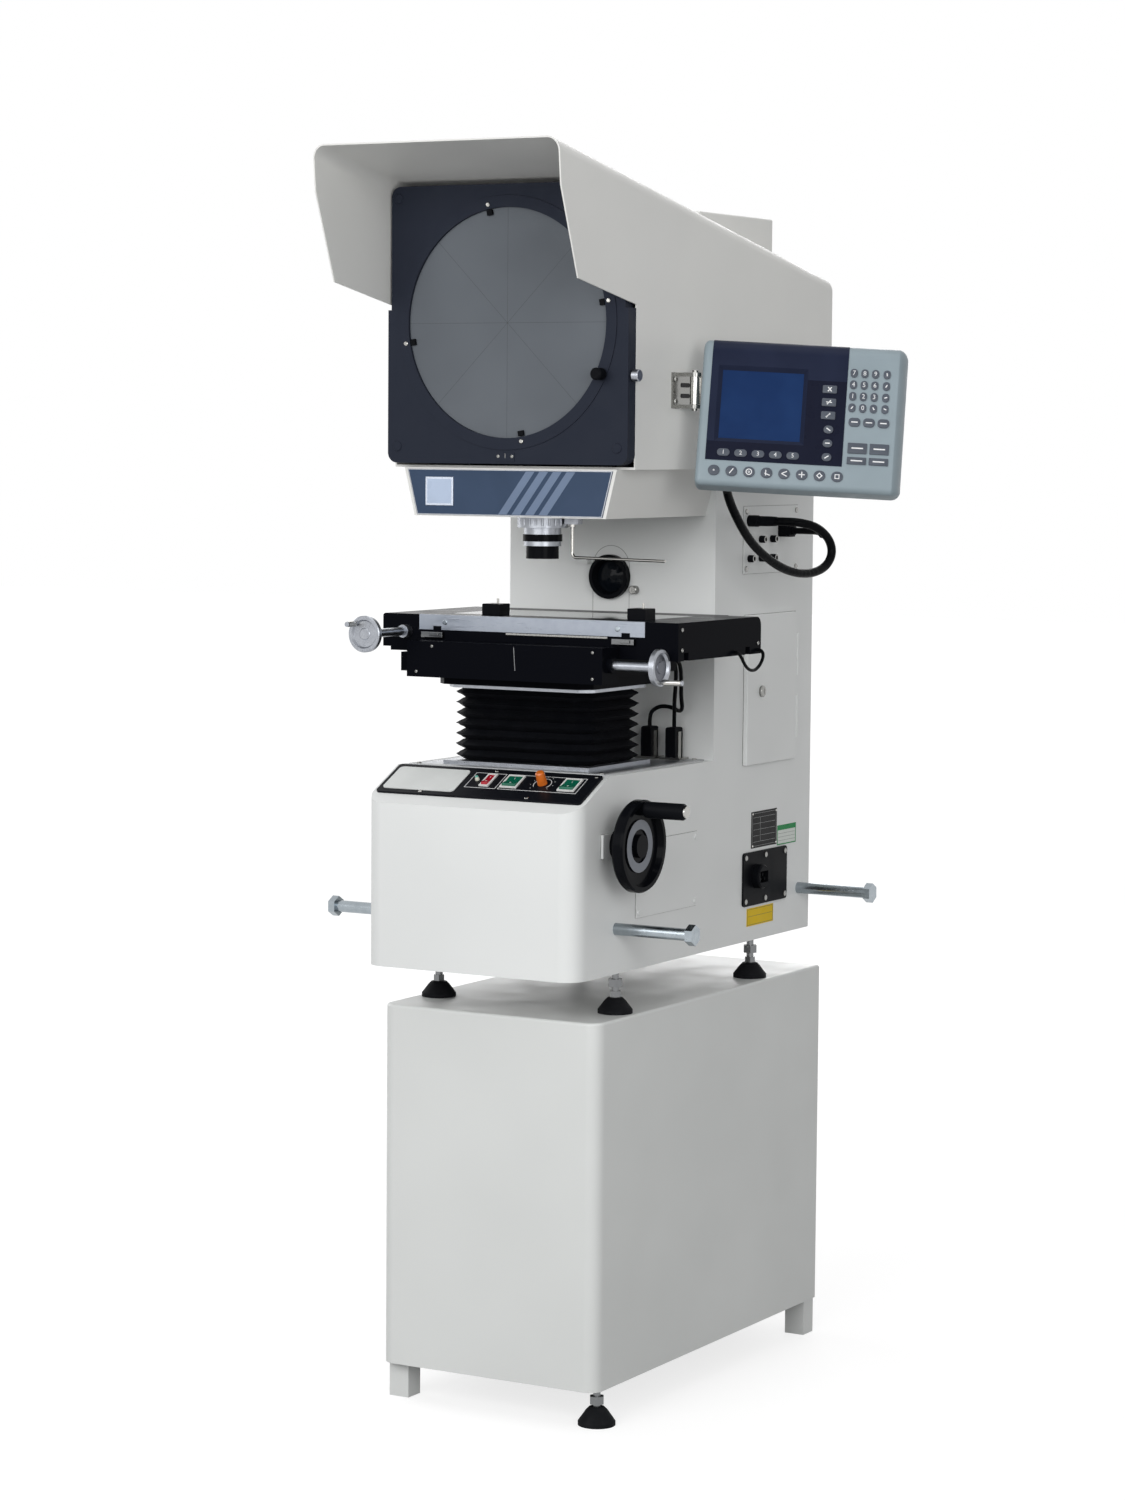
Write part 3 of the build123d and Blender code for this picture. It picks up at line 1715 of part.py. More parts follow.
def make_stage():
    up = (0, 0, 1)
    right = (1, 0, 0)
    front = (0, -1, 0)
    light = rod((0, lens_y, bellows_top - 1), up, light_radius, 200)
    lip = bellows_frame_lip
    silver = box(
        -bellows_half - lip,
        bellows_half + lip,
        bellows_front - lip,
        bellows_rear + lip,
        bellows_top,
        knee_bottom,
    )
    silver = chamfer(silver.edges().filter_by(Axis.Z), bellows_chamfer)
    silver -= rod((0, lens_y, bellows_top - 1), up, column_tube_radius + 0.05, 10)
    knee = box(-knee_half, knee_half, knee_front, knee_rear, knee_bottom, stage_base_bottom)
    knee = chamfer(knee.edges().filter_by(Axis.Z), bellows_chamfer)
    block = box(
        -stage_base_half,
        stage_base_half,
        stage_base_front,
        stage_base_rear,
        stage_base_bottom,
        stage_base_top,
    )
    casting = knee + block - light
    for y in (rail_front_y, rail_rear_y):
        casting += box(
            -stage_base_half,
            stage_base_half,
            y - rail_width / 2,
            y + rail_width / 2,
            stage_base_top,
            stage_base_top + rail_height,
        )
    add("stage_base", silver, casting)

    # Screw box in front, hollow for the travelling nut
    screw_box = box(
        screw_box_left,
        screw_box_right,
        screw_box_front,
        stage_base_front,
        screw_box_bottom,
        screw_box_top,
    )
    channel_left = screw_box_left + 12
    channel_right = 112
    wall = screw_box_wall
    screw_box -= box(
        channel_left,
        channel_right,
        screw_box_front + wall,
        stage_base_front - wall,
        screw_box_bottom + wall,
        screw_box_top - 4,
    )
    screw_box -= box(
        channel_left,
        channel_right,
        stage_base_front - wall - 1,
        stage_base_front + 1,
        stage_base_top + 4,
        screw_box_top - 4,
    )
    bearing = rod((screw_box_left + 6, x_shaft_y, x_shaft_z), right, x_shaft_radius + fit, 400)
    screw_box -= bearing
    collar = rod((screw_box_right, x_shaft_y, x_shaft_z), right, 10, 6) - bearing
    add("stage_base", screw_box + collar)
    wheel_start = screw_box_right + x_wheel_reach
    small_wheel(
        "x_handwheel",
        "x_wheel_grip",
        (wheel_start, x_shaft_y, x_shaft_z),
        right,
        wheel_start - screw_box_left - 7,
        (0, 0, -1),
        x_crank_length,
    )

    # X carriage: slide with two end blocks and the arm of its nut
    slide = box(
        carriage_left, carriage_right, carriage_front, carriage_rear, carriage_bottom, carriage_top
    )
    for y in (rail_front_y, rail_rear_y):
        slide -= box(
            carriage_left - 1,
            carriage_right + 1,
            y - rail_width / 2 - slide_gap,
            y + rail_width / 2 + slide_gap,
            carriage_bottom - 1,
            stage_base_top + rail_height + slide_gap,
        )
    left = box(
        carriage_left,
        table_left - slide_gap,
        carriage_front,
        carriage_rear,
        carriage_bottom,
        table_top,
    )
    top_left = left.edges().filter_by(Axis.Y).group_by(Axis.Z)[-1].sort_by(Axis.X)[0]
    left = fillet(top_left, 4)
    right_block = box(
        table_right + slide_gap,
        carriage_right,
        carriage_front,
        carriage_rear,
        carriage_bottom,
        table_top,
    )
    rear_edge = right_block.edges().filter_by(Axis.X).group_by(Axis.Z)[-1].sort_by(Axis.Y)[-1]
    right_block = fillet(rear_edge, block_edge_radius)
    slide += left + right_block
    slide -= box(
        carriage_left - 1,
        carriage_left + 12,
        carriage_front - 1,
        carriage_rear + 1,
        carriage_bottom - 1,
        carriage_bottom + left_block_bottom,
    )
    for y in (rail_front_y, rail_rear_y):
        slide -= box(
            carriage_left - 1,
            carriage_right + 1,
            y - rail_width / 2 - slide_gap,
            y + rail_width / 2 + slide_gap,
            carriage_bottom - 1,
            stage_base_top + rail_height + slide_gap,
        )
    slide -= box(
        carriage_window_left,
        carriage_window_right,
        lens_y - window_half_y,
        lens_y + window_half_y,
        carriage_bottom - 1,
        table_top + 1,
    )
    nut_left = x_nut_x - x_nut_half
    nut_right = x_nut_x + x_nut_half
    nut_front = x_shaft_y - 10
    nut_top = screw_box_top - 5
    slide += box(
        nut_left, nut_right, nut_front, carriage_front + 2, stage_base_top + 5, nut_top
    )
    slide += box(nut_left, nut_right, nut_front, x_shaft_y + 10, x_shaft_z - 10, nut_top)
    slide -= rod((nut_left - 11, x_shaft_y, x_shaft_z), right, x_shaft_radius + fit, 40)
    bore_start = (y_shaft_x, carriage_front - 20, y_shaft_z)
    shaft_bore = rod(bore_start, (0, 1, 0), x_shaft_radius + fit, 80)
    boss = rod((y_shaft_x, carriage_front + 1, y_shaft_z), front, y_boss_radius, 13)
    slide += boss
    slide -= shaft_bore
    y_rails = (y_rail_left, y_rail_right)
    for x in y_rails:
        slide += box(
            x - rail_width / 2,
            x + rail_width / 2,
            carriage_front,
            carriage_rear,
            carriage_top,
            carriage_top + y_rail_height,
        )
    add("x_carriage", slide)
    wheel_y_start = carriage_front - y_wheel_reach
    small_wheel(
        "y_handwheel",
        "y_wheel_grip",
        (y_shaft_x, wheel_y_start, y_shaft_z),
        front,
        y_wheel_reach + 55,
        (-math.sqrt(0.5), 0, math.sqrt(0.5)),
        y_crank_length,
    )

    # Y table with silver front bar, glass in its rebate, two clamps
    table = box(
        table_left,
        table_right,
        carriage_front + table_bar,
        carriage_rear,
        table_bottom,
        table_top,
    )
    for x in y_rails:
        table -= box(
            x - rail_width / 2 - slide_gap,
            x + rail_width / 2 + slide_gap,
            carriage_front - 1,
            carriage_rear + 1,
            table_bottom - 1,
            carriage_top + y_rail_height + slide_gap,
        )
    table -= box(
        table_x - window_half_x,
        table_x + window_half_x,
        lens_y - window_half_y + 1,
        lens_y + window_half_y - 1,
        table_bottom - 1,
        table_top + 1,
    )
    rebate = 0.2
    table -= box(
        table_x - glass_half_x - rebate,
        table_x + glass_half_x + rebate,
        lens_y - glass_half_y - rebate,
        lens_y + glass_half_y + rebate,
        table_top - glass_thickness,
        table_top + 1,
    )
    bar = box(
        table_left, table_right, carriage_front, carriage_front + table_bar, table_bottom, table_top
    )
    for x in y_rails:
        bar -= box(
            x - rail_width / 2 - slide_gap,
            x + rail_width / 2 + slide_gap,
            carriage_front - 1,
            carriage_rear + 1,
            table_bottom - 1,
            carriage_top + y_rail_height + slide_gap,
        )
    for x in (table_left + 40, table_right - 40):
        seat = (x, carriage_front, table_top - 10)
        bar -= screw_hole(seat, front, radius=2, length=4)
        add("y_table", screw(seat, front, radius=2, head=3.4, height=1.4, length=4))
    add("y_table", table, bar)
    add(
        "stage_glass",
        box(
            table_x - glass_half_x,
            table_x + glass_half_x,
            lens_y - glass_half_y,
            lens_y + glass_half_y,
            table_top - glass_thickness,
            table_top,
        ),
    )
    for x in (clamp_left_x, clamp_right_x):
        half = clamp_size / 2
        clamp_top = table_top + clamp_height
        body = box(x - half, x + half, clamp_y - half, clamp_y + half, table_top, clamp_top)
        body = chamfer(body.edges().group_by(Axis.Z)[-1], 0.8)
        body += rod((x + 3, clamp_y, clamp_top), up, 1.6, 7)
        add("stage_clamps", body)


readout_face = (
    Pos(readout_x, readout_y, readout_z)
    * Rot(0, 0, readout_turn)
    * Rot(90 - readout_lean, 0, 0)
    * Rot(0, 0, readout_roll)
)


def make_readout():
    up = (0, 0, 1)
    wall = casing_half
    # Folded bracket on the casing, with the fixed swivel pin
    leaf = box(wall, wall + bracket_sheet, bracket_front, bracket_rear, bracket_low, bracket_high)
    lug = 5
    for z in (bracket_low, bracket_high - lug):
        ear = box(wall, pin_x, pin_y - 8, pin_y + 8, z, z + lug)
        ear += rod((pin_x, pin_y, z), up, 8, lug)
        leaf += ear
    leaf += rod((pin_x, pin_y, bracket_low - 3), up, pin_radius, bracket_high - bracket_low + 6)
    for y in (bracket_front + 8, bracket_rear - 8):
        for z in (bracket_low + 9, bracket_high - 9):
            leaf += turned(
                (wall + bracket_sheet, y, z), (1, 0, 0), [(0, 0), (4, 0), (3, 1.6), (0, 1.6)]
            )
    add("readout_bracket", leaf)

    half_w = readout_width / 2
    half_h = readout_height / 2
    body = box(-half_w, half_w, -half_h, half_h, -readout_depth, 0)
    body = fillet(body.edges().filter_by(Axis.Z), 12)
    body = fillet(body.edges().group_by(Axis.Z)[-1], 5)
    body = fillet(body.edges().group_by(Axis.Z)[0], 3)
    body = readout_face * body
    gap = slide_gap
    low = bracket_low + lug + gap
    high = bracket_high - lug - gap
    knuckle = rod((pin_x, pin_y, low), up, 7, high - low)
    knuckle += box(pin_x, pin_x + 18, pin_y - 2, pin_y + 5, low, high)
    knuckle -= rod((pin_x, pin_y, low - 1), up, pin_radius + fit, high - low + 2)
    gland = readout_face * rod((-95, -85, -readout_depth), (0, 0, -1), 8.5, 12)
    add("readout_housing", body + knuckle + gland)

    # Front panel: dark overlay with a window, display, keys
    overlay = box(overlay_left, overlay_right, -78, half_h - 3, 0, 0.8)
    overlay = fillet(overlay.edges().filter_by(Axis.Z), 5)
    screen = box(
        display_x - display_width / 2,
        display_x + display_width / 2,
        display_y - display_height / 2,
        display_y + display_height / 2,
        0.8,
        1.4,
    )
    add("readout_panel", readout_face * overlay, readout_face * screen)
    for x, y, width, height, level in readout_keys():
        key = box(x - width / 2, x + width / 2, y - height / 2, y + height / 2, level, level + 1)
        add("readout_panel", readout_face * key)


def readout_keys():
    keys = []
    for i in range(5):
        keys.append((-108 + 21 * i, -58, 15, 9, 0.8))
    for i in range(3):
        keys.append((16, 44 - 20 * i, 14, 9, 0.8))
    for i in range(3):
        keys.append((16, -17 - 21 * i, 9, 9, 0.8))
    for i in range(8):
        keys.append((-116 + 23 * i, -89, 12, 11, 0))
    for row in range(4):
        for column in range(4):
            keys.append((67 + 15 * column, 66 - 17 * row, 9, 11, 0))
    for i in range(3):
        keys.append((70 + 19.5 * i, -5, 13, 9, 0))
    for row in range(2):
        for column in range(2):
            keys.append((75 + 29 * column, -44 - 20 * row, 22, 13, 0))
    return keys


def tube_along(points, radius, name):
    vectors = [Vector(*p) for p in points]
    radii = []
    for before, here, after in zip(vectors, vectors[1:], vectors[2:]):
        turn = (here - before).get_angle(after - here)
        shorter = min((here - before).length, (after - here).length)
        radii.append(0.45 * shorter / math.tan(math.radians(turn / 2)))
    print(name, "radii in diameters", [round(r / (2 * radius), 1) for r in radii])
    line = FilletPolyline(*points, radius=radii)
    start = Plane(origin=line @ 0, z_dir=line % 0)
    tube = sweep(start * Circle(radius), path=line)
    share = tube.volume / (math.pi * radius**2 * line.length)
    print(name, "length", round(line.length, 1), "volume share", round(share, 4))
    return tube


def make_cords():
    right = (1, 0, 0)
    up = (0, 0, 1)
    # Readout lead: from the gland behind the readout, down in a loop, into its plug on the column
    exit_point = readout_face * Pos(-95, -85, -readout_depth - 12)
    start = exit_point.position
    second = (readout_face * Pos(-95, -85, -readout_depth - 30)).position
    plug_y = socket_first_y
    plug_z = socket_low_z + 2 * socket_row
    plug_end = base_half + 43
    route = [
        tuple(start),
        tuple(second),
        (235, -106, 1214),
        (236, -78, 1184),
        (236, -44, 1158),
        (239, -10, 1139),
        (244, 30, 1122),
        (251, 70, 1113),
        (257, 107, 1113),
        (261, 138, 1122),
        (263, 152, 1140),
        (261, 144, 1160),
        (254, 120, 1176),
        (240, 98, plug_z - 1),
        (220, plug_y, plug_z),
        (plug_end, plug_y, plug_z),
    ]
    add("readout_cable", tube_along(route, readout_cable_radius, "readout cable"))
    branch_y = 190
    branch_z = 1168
    branch = [
        (base_half + 24, branch_y, branch_z),
        (base_half + 40, branch_y, branch_z),
        (base_half + 58, branch_y - 7, branch_z),
        (base_half + 73, branch_y - 20, branch_z - 1),
        (base_half + 83, branch_y - 36, branch_z - 4),
    ]
    add("readout_cable", tube_along(branch, branch_cable_radius, "readout branch"))
    seat = base_half + cover_sheet
    plug = turned(
        (seat, plug_y, plug_z),
        right,
        [
            (0, 0),
            (8, 0),
            (8, 14),
            (7, 15),
            (7, 30),
            (readout_cable_radius + 0.5, plug_end - seat),
            (0, plug_end - seat),
        ],
    )
    hood = box(seat, seat + 18, branch_y - 9, branch_y + 9, branch_z - 8.5, branch_z + 8.5)
    hood = fillet(hood.edges().filter_by(Axis.X), 2)
    hood += rod((seat + 18, branch_y, branch_z), right, 6, base_half + 24 - seat - 18)
    add("cable_plugs", plug, hood)

    # Stage cables: from the rear of the stage base down to two latched plugs on the base top
    top = inset_top
    plug_top = top + 44
    plugs = [(75, -26), (113, -26)]
    for x, y in plugs:
        body = box(x - 7.5, x + 7.5, y - 11, y + 11, top, plug_top)
        body = fillet(body.edges().group_by(Axis.Z)[-1], 3)
        latch = box(x + 7.5, x + 9, y - 4, y + 4, top, plug_top - 6)
        latch += box(x - 9, x - 7.5, y - 4, y + 4, top, plug_top - 6)
        foot = box(x - 16, x + 16, y - 13, y + 13, top, top + 3)
        add("cable_plugs", body + latch + foot)
    low = stage_base_bottom + 15
    first = [
        (136, stage_base_rear, low),
        (136, stage_base_rear + 16, low),
        (135, stage_base_rear + 27, low - 14),
        (132, stage_base_rear + 32, low - 36),
        (127, stage_base_rear + 38, low - 58),
        (119, stage_base_rear + 53, low - 75),
        (113, -26, low - 88),
        (113, -26, plug_top),
    ]
    second = [
        (143, stage_base_rear, low),
        (143, stage_base_rear + 14, low),
        (142.5, stage_base_rear + 26, low - 11),
        (140, stage_base_rear + 33, low - 32),
        (136, stage_base_rear + 40, low - 53),
        (130, stage_base_rear + 56, low - 70),
        (118, stage_base_rear + 70, low - 76),
        (103, stage_base_rear + 74, low - 70),
        (88, stage_base_rear + 69, low - 69),
        (77.5, stage_base_rear + 65, low - 76),
        (75, -26, low - 85),
        (75, -26, plug_top),
    ]
    add("stage_cables", tube_along(first, stage_cable_radius, "right stage cable"))
    add("stage_cables", tube_along(second, stage_cable_radius, "left stage cable"))

    # Short lead that loops from the end of the carriage, clear of the stage base below it
    end = carriage_right
    level = carriage_bottom + 5
    loop = [
        (end, -150, level),
        (end + 5, -150, level),
        (end + 9, -149, level - 5),
        (end + 10.5, -145, level - 12),
        (end + 10.5, -136, level - 20),
        (end + 10.5, -124, level - 25),
        (end + 10.5, -110, level - 25.5),
        (end + 10.5, -97, level - 20),
        (end + 10.5, -88.5, level - 12),
        (end + 9, -83.5, level - 5),
        (end + 5, -82.5, level),
        (end, -82.5, level),
    ]
    add("reader_cable", tube_along(loop, reader_cable_radius, "reader cable"))


make_stand()
make_feet()
make_base()
make_covers()
make_labels()
make_panel()
make_door()
make_head()
make_screen()
make_lens()
make_surface_lamp()
make_mirrors()
make_inside()
make_focus_wheel()
make_bellows()
make_stage()
make_readout()
make_cords()

os.makedirs("parts", exist_ok=True)
for name, solids in nodes.items():
    export_step(Compound(children=solids), f"parts/{name}.step")
print(len(nodes), "nodes,", sum(len(solids) for solids in nodes.values()), "solids")
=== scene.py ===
# %% [markdown]
# # Dressing a profile projector
# The machine's solid pieces come ready made, in metres, each riding on the body that moves it.
# This lesson gives them their finishes and models what solids can't show well: the pleated
# bellows, the cords, printed panels and small fittings.

# %% Load the machine
import math

import bmesh
import bpy
from mathutils import Matrix, Vector


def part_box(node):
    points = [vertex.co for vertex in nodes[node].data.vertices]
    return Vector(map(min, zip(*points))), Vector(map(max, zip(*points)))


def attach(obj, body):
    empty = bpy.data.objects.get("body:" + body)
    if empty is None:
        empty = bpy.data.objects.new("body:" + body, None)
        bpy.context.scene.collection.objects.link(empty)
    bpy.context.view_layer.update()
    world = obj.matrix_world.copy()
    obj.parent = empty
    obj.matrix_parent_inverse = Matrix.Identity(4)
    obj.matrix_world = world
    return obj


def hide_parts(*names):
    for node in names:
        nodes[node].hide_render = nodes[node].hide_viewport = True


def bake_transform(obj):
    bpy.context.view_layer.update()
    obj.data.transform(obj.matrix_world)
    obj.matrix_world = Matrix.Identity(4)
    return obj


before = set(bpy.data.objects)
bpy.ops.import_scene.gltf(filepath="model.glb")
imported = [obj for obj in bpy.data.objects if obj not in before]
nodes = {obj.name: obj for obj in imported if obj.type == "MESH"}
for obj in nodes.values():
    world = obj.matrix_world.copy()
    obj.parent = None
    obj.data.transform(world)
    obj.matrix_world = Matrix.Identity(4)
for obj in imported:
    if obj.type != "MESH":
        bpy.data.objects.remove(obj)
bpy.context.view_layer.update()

# %% [markdown]
# ## Camera
# The photograph was taken from the front right, a little above the middle, with a long lens. A
# new camera looks straight down, so it is rolled very slightly, raised to the horizon less a few
# degrees, and turned round. The lens length is for the long side of the frame, the upright one.

# %% Camera
CAMERA_PLACE = (2.5102, -4.4926, 1.3010)
CAMERA_YAW = math.radians(29.94)
CAMERA_PITCH = math.radians(-4.854)
CAMERA_ROLL = math.radians(0.444)
HORIZON = math.radians(90)
CAMERA_LENS = 89.45
camera = bpy.data.objects.new("camera", bpy.data.cameras.new("camera"))
camera.data.lens = CAMERA_LENS
camera.data.sensor_width = 36
camera.matrix_world = (
    Matrix.Translation(CAMERA_PLACE)
    @ Matrix.Rotation(CAMERA_YAW, 4, "Z")
    @ Matrix.Rotation(HORIZON + CAMERA_PITCH, 4, "X")
    @ Matrix.Rotation(CAMERA_ROLL, 4, "Z")
)
bpy.context.scene.collection.objects.link(camera)
bpy.context.scene.camera = camera
print("camera stands at", CAMERA_PLACE)

# %% [markdown]
# ## Small helpers
# Every primitive is added with nothing else selected, and its place is put into its mesh at the
# end. A finish is a Principled shader with noise on the piece's own Object coordinates.

# %% Helpers for pieces


def deselect():
    bpy.ops.object.select_all(action="DESELECT")


def activate(piece):
    deselect()
    piece.select_set(True)
    bpy.context.view_layer.objects.active = piece


def apply_place():
    bpy.ops.object.transform_apply(location=True, rotation=True, scale=True)


def settle(piece, name, body, surface=None):
    """Puts a piece's place into its mesh, and gives it its name, finish and body.

    A piece that spans two bodies is given none. One that was painted face by face
    keeps its finishes when no surface is named."""
    activate(piece)
    apply_place()
    piece.name = name
    piece.data.name = name
    if surface:
        piece.data.materials.clear()
        piece.data.materials.append(surface)
    if body:
        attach(piece, body)


def finish_with(piece, kind, **settings):
    """Adds one modifier and applies it."""
    modifier = piece.modifiers.new(kind.lower(), kind)
    for key, value in settings.items():
        setattr(modifier, key, value)
    activate(piece)
    bpy.ops.object.modifier_apply(modifier=modifier.name)


def smooth(piece, angle):
    activate(piece)
    bpy.ops.object.shade_smooth_by_angle(angle=math.radians(angle))


# %% Helpers for finishes


def surface_of(name, colour, roughness, metallic=0.0):
    """A plain finish, to which detail is added."""
    material = bpy.data.materials.new(name)
    material.use_nodes = True
    shader = shader_of(material)
    shader.inputs["Base Color"].default_value = (*colour, 1)
    shader.inputs["Roughness"].default_value = roughness
    shader.inputs["Metallic"].default_value = metallic
    return material


def shader_of(material):
    return material.node_tree.nodes["Principled BSDF"]


def add_node(material, kind, **inputs):
    made = material.node_tree.nodes.new(kind)
    for key, value in inputs.items():
        made.inputs[key.replace("_", " ")].default_value = value
    return made


def join(material, start, end):
    material.node_tree.links.new(start, end)


def places_on(material, stretch=(1, 1, 1)):
    """The piece's own coordinates, stretched as asked."""
    coordinates = add_node(material, "ShaderNodeTexCoord")
    mapping = add_node(material, "ShaderNodeMapping")
    mapping.vector_type = "TEXTURE"
    mapping.inputs["Scale"].default_value = stretch
    join(material, coordinates.outputs["Object"], mapping.inputs["Vector"])
    return mapping.outputs["Vector"]


def noise_on(material, places, size, detail=2.0):
    texture = add_node(material, "ShaderNodeTexNoise", Scale=1 / size, Detail=detail)
    join(material, places, texture.inputs["Vector"])
    return texture.outputs["Fac"]


def ramp_between(material, value, low, high, out_low=0.0, out_high=1.0):
    levels = {"From_Min": low, "From_Max": high, "To_Min": out_low, "To_Max": out_high}
    span = add_node(material, "ShaderNodeMapRange", **levels)
    join(material, value, span.inputs["Value"])
    return span.outputs["Result"]


def mottle(material, places, size, other, low=0.35, high=0.65):
    """Lets the base colour drift towards another one in soft patches."""
    target = shader_of(material).inputs["Base Color"]
    mix = add_node(material, "ShaderNodeMix")
    mix.data_type = "RGBA"
    share = ramp_between(material, noise_on(material, places, size), low, high)
    join(material, share, mix.inputs["Factor"])
    mix.inputs["A"].default_value = target.default_value
    mix.inputs["B"].default_value = (*other, 1)
    join(material, mix.outputs["Result"], target)


def vary_gloss(material, places, size, low, high):
    value = noise_on(material, places, size)
    target = shader_of(material).inputs["Roughness"]
    join(material, ramp_between(material, value, 0.3, 0.7, low, high), target)


def grain(material, places, size, depth, detail=2.0):
    """A fine bump, so many metres deep."""
    bump = add_node(material, "ShaderNodeBump", Strength=1.0, Distance=depth)
    join(material, noise_on(material, places, size, detail), bump.inputs["Height"])
    join(material, bump.outputs["Normal"], shader_of(material).inputs["Normal"])


def finish(name, colour, rough, drift, gloss, bump, metallic=0.0, streak=(1, 1, 1), **more):
    """A finish in one call: drift is what mottle takes, gloss what vary_gloss takes and bump
    what grain takes, or None. Other sockets of the shader are named at the end."""
    material = surface_of(name, colour, rough, metallic)
    places = places_on(material, streak)
    vary_gloss(material, places, *gloss)
    if drift:
        mottle(material, places, *drift)
    if bump:
        grain(material, places, *bump)
    for key, value in more.items():
        shader_of(material).inputs[key.replace("_", " ")].default_value = value
    return material


print("helpers ready")

# %% [markdown]
# ## Painted sheet metal
# The housing, the hood and the stand are sheet metal in an off-white powder coat. Such a coat has
# a faint orange-peel skin, a sheen that varies a little, and soft grey patches from handling.

# %% Powder coats


def powder_coat(name, colour, shade, peel=0.0016):
    gloss, bump = (0.06, 0.36, 0.48), (peel, 0.00004)
    return finish(name, colour, 0.42, (0.33, shade), gloss, bump, Specular_IOR_Level=0.4)


body_paint = powder_coat("off-white coat", (0.79, 0.805, 0.80), (0.755, 0.77, 0.765))
head_paint = powder_coat("warm white coat", (0.80, 0.80, 0.775), (0.765, 0.765, 0.745))
stand_paint = powder_coat("stand coat", (0.72, 0.735, 0.725), (0.68, 0.695, 0.685), 0.002)
print("powder coats:", body_paint.name, head_paint.name, stand_paint.name)

# %% [markdown]
# ## Dark finishes
# The screen frame and ring have a satin blue-black paint with a fine texture, and the castings of
# the stage a smooth black enamel. Rubber, knobs and plugs are each a little different in sheen,
# and that difference is what makes black things readable.

# %% Dark finishes


def dark_coat(name, colour, rough, size, depth, level, spots=None):
    drift = (0.012, spots, 0.45, 0.8) if spots else None
    gloss = (0.03, rough * 0.85, rough * 1.2)
    return finish(name, colour, rough, drift, gloss, (size, depth), Specular_IOR_Level=level)


navy_paint = dark_coat("navy texture", (0.0195, 0.0235, 0.036), 0.5, 0.0007, 0.00005, 0.07)
black_enamel = dark_coat("black enamel", (0.0036, 0.004, 0.006), 0.22, 0.004, 0.00002, 0.01)
black_panel = dark_coat("panel black", (0.0055, 0.006, 0.0085), 0.3, 0.001, 0.00001, 0.08)
rubber_black, rubber_dust = (0.010, 0.0105, 0.012), (0.015, 0.015, 0.017)
black_rubber = dark_coat("black rubber", rubber_black, 0.62, 0.0006, 0.00008, 0.04, rubber_dust)
black_plastic = dark_coat("moulded black", (0.005, 0.0055, 0.007), 0.36, 0.0005, 0.00003, 0.03)
gloss_black = dark_coat("polished black", (0.004, 0.0045, 0.006), 0.15, 0.01, 0.00001, 0.03)
cord_black = dark_coat("cord sleeve", (0.0030, 0.0034, 0.0042), 0.32, 0.006, 0.0009, 0.04)
lamp_black = dark_coat("lamp black", (0.008, 0.008, 0.008), 0.7, 0.001, 0.00005, 0.1)
print("dark finishes ready")

# %% [markdown]
# ## Metals
# Aluminium parts are satin anodised, shafts are ground steel, bolts are zinc plated and small
# fittings are nickel plated. Turned parts show fine rings and rolled ones show long streaks, so
# the noise is stretched along one axis.

# %% Metals


def metal(name, colour, rough, size=0.0006, streak=(1, 1, 1), cloud=None):
    gloss, bump = (size * 4, rough * 0.8, rough * 1.25), (size, 0.00001)
    material = finish(name, colour, rough, None, gloss, bump, 1.0, streak)
    if cloud:
        mottle(material, places_on(material), 0.01, cloud)
    return material


satin_silver = metal("satin aluminium", (0.34, 0.355, 0.385), 0.32, 0.0004, cloud=(0.30, 0.315, 0.345))
bar_cloud = (0.275, 0.30, 0.345)
brushed_bar = metal("brushed bar", (0.295, 0.32, 0.365), 0.34, 0.0003, (30, 1, 1), bar_cloud)
ground_steel = metal("ground steel", (0.33, 0.33, 0.32), 0.26, 0.0004, (1, 1, 6))
zinc_plate = metal("zinc plate", (0.37, 0.41, 0.44), 0.24, 0.004, cloud=(0.33, 0.37, 0.40))
dark_zinc = metal("dark zinc", (0.19, 0.195, 0.20), 0.2, 0.003)
# A darker copy of the nickel plate for small fittings; the extra darkness is painted shade.
shaded_nickel = metal("nickel with painted shade", (0.27, 0.27, 0.26), 0.24, 0.002)
nickel_plate = metal("nickel plate", (0.42, 0.415, 0.395), 0.17, 0.002)
print("metals ready")

# %% [markdown]
# ## Cords
# The route points are the cords' real ones. Each cord is a NURBS curve, whose order is set after
# its points. Cords that cross a joint become mesh tubes that ride on no body, and their path is
# read from the same curve without its thickness.

# %% Cord tools


def cord_curve(name, points, radius):
    curve = bpy.data.curves.new(name, "CURVE")
    curve.dimensions = "3D"
    curve.resolution_u = 10
    curve.bevel_depth = radius
    curve.bevel_resolution = 5
    curve.use_fill_caps = True
    spline = curve.splines.new("NURBS")
    spline.points.add(len(points) - 1)
    for point, place in zip(spline.points, points):
        point.co = (*place, 1)
    spline.order_u = 3
    spline.use_endpoint_u = True
    piece = bpy.data.objects.new(name, curve)
    bpy.context.scene.collection.objects.link(piece)
    return piece


def line_of(piece):
    """The points down the middle of a cord's curve."""
    bare = bpy.data.objects.new("bare line", piece.data.copy())
    bare.data.bevel_depth = 0
    mesh = bpy.data.meshes.new_from_object(bare)
    line = [vertex.co.copy() for vertex in mesh.vertices]
    bpy.data.meshes.remove(mesh)
    bpy.data.curves.remove(bare.data)
    return line


def cord(name, route, radius, length, bodies, stands_for=None, bends=None, **says):
    """A cord along its route. It rides on one body, or, where bends are given, becomes a mesh tube
    that rides on none. Its length, where it bends and its other settings are not used."""
    piece = cord_curve(name, route, radius)
    line = line_of(piece)
    if bends:
        activate(piece)
        bpy.ops.object.convert(target="MESH")
        piece = bpy.context.active_object
        says["path"] = line
    piece.data.materials.append(cord_black)
    if stands_for:
        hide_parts(stands_for)
    if bends:
        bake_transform(piece)
    else:
        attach(piece, *bodies)
    run = sum((b - a).length for a, b in zip(line, line[1:]))
    print(name, round(run, 3), "m")


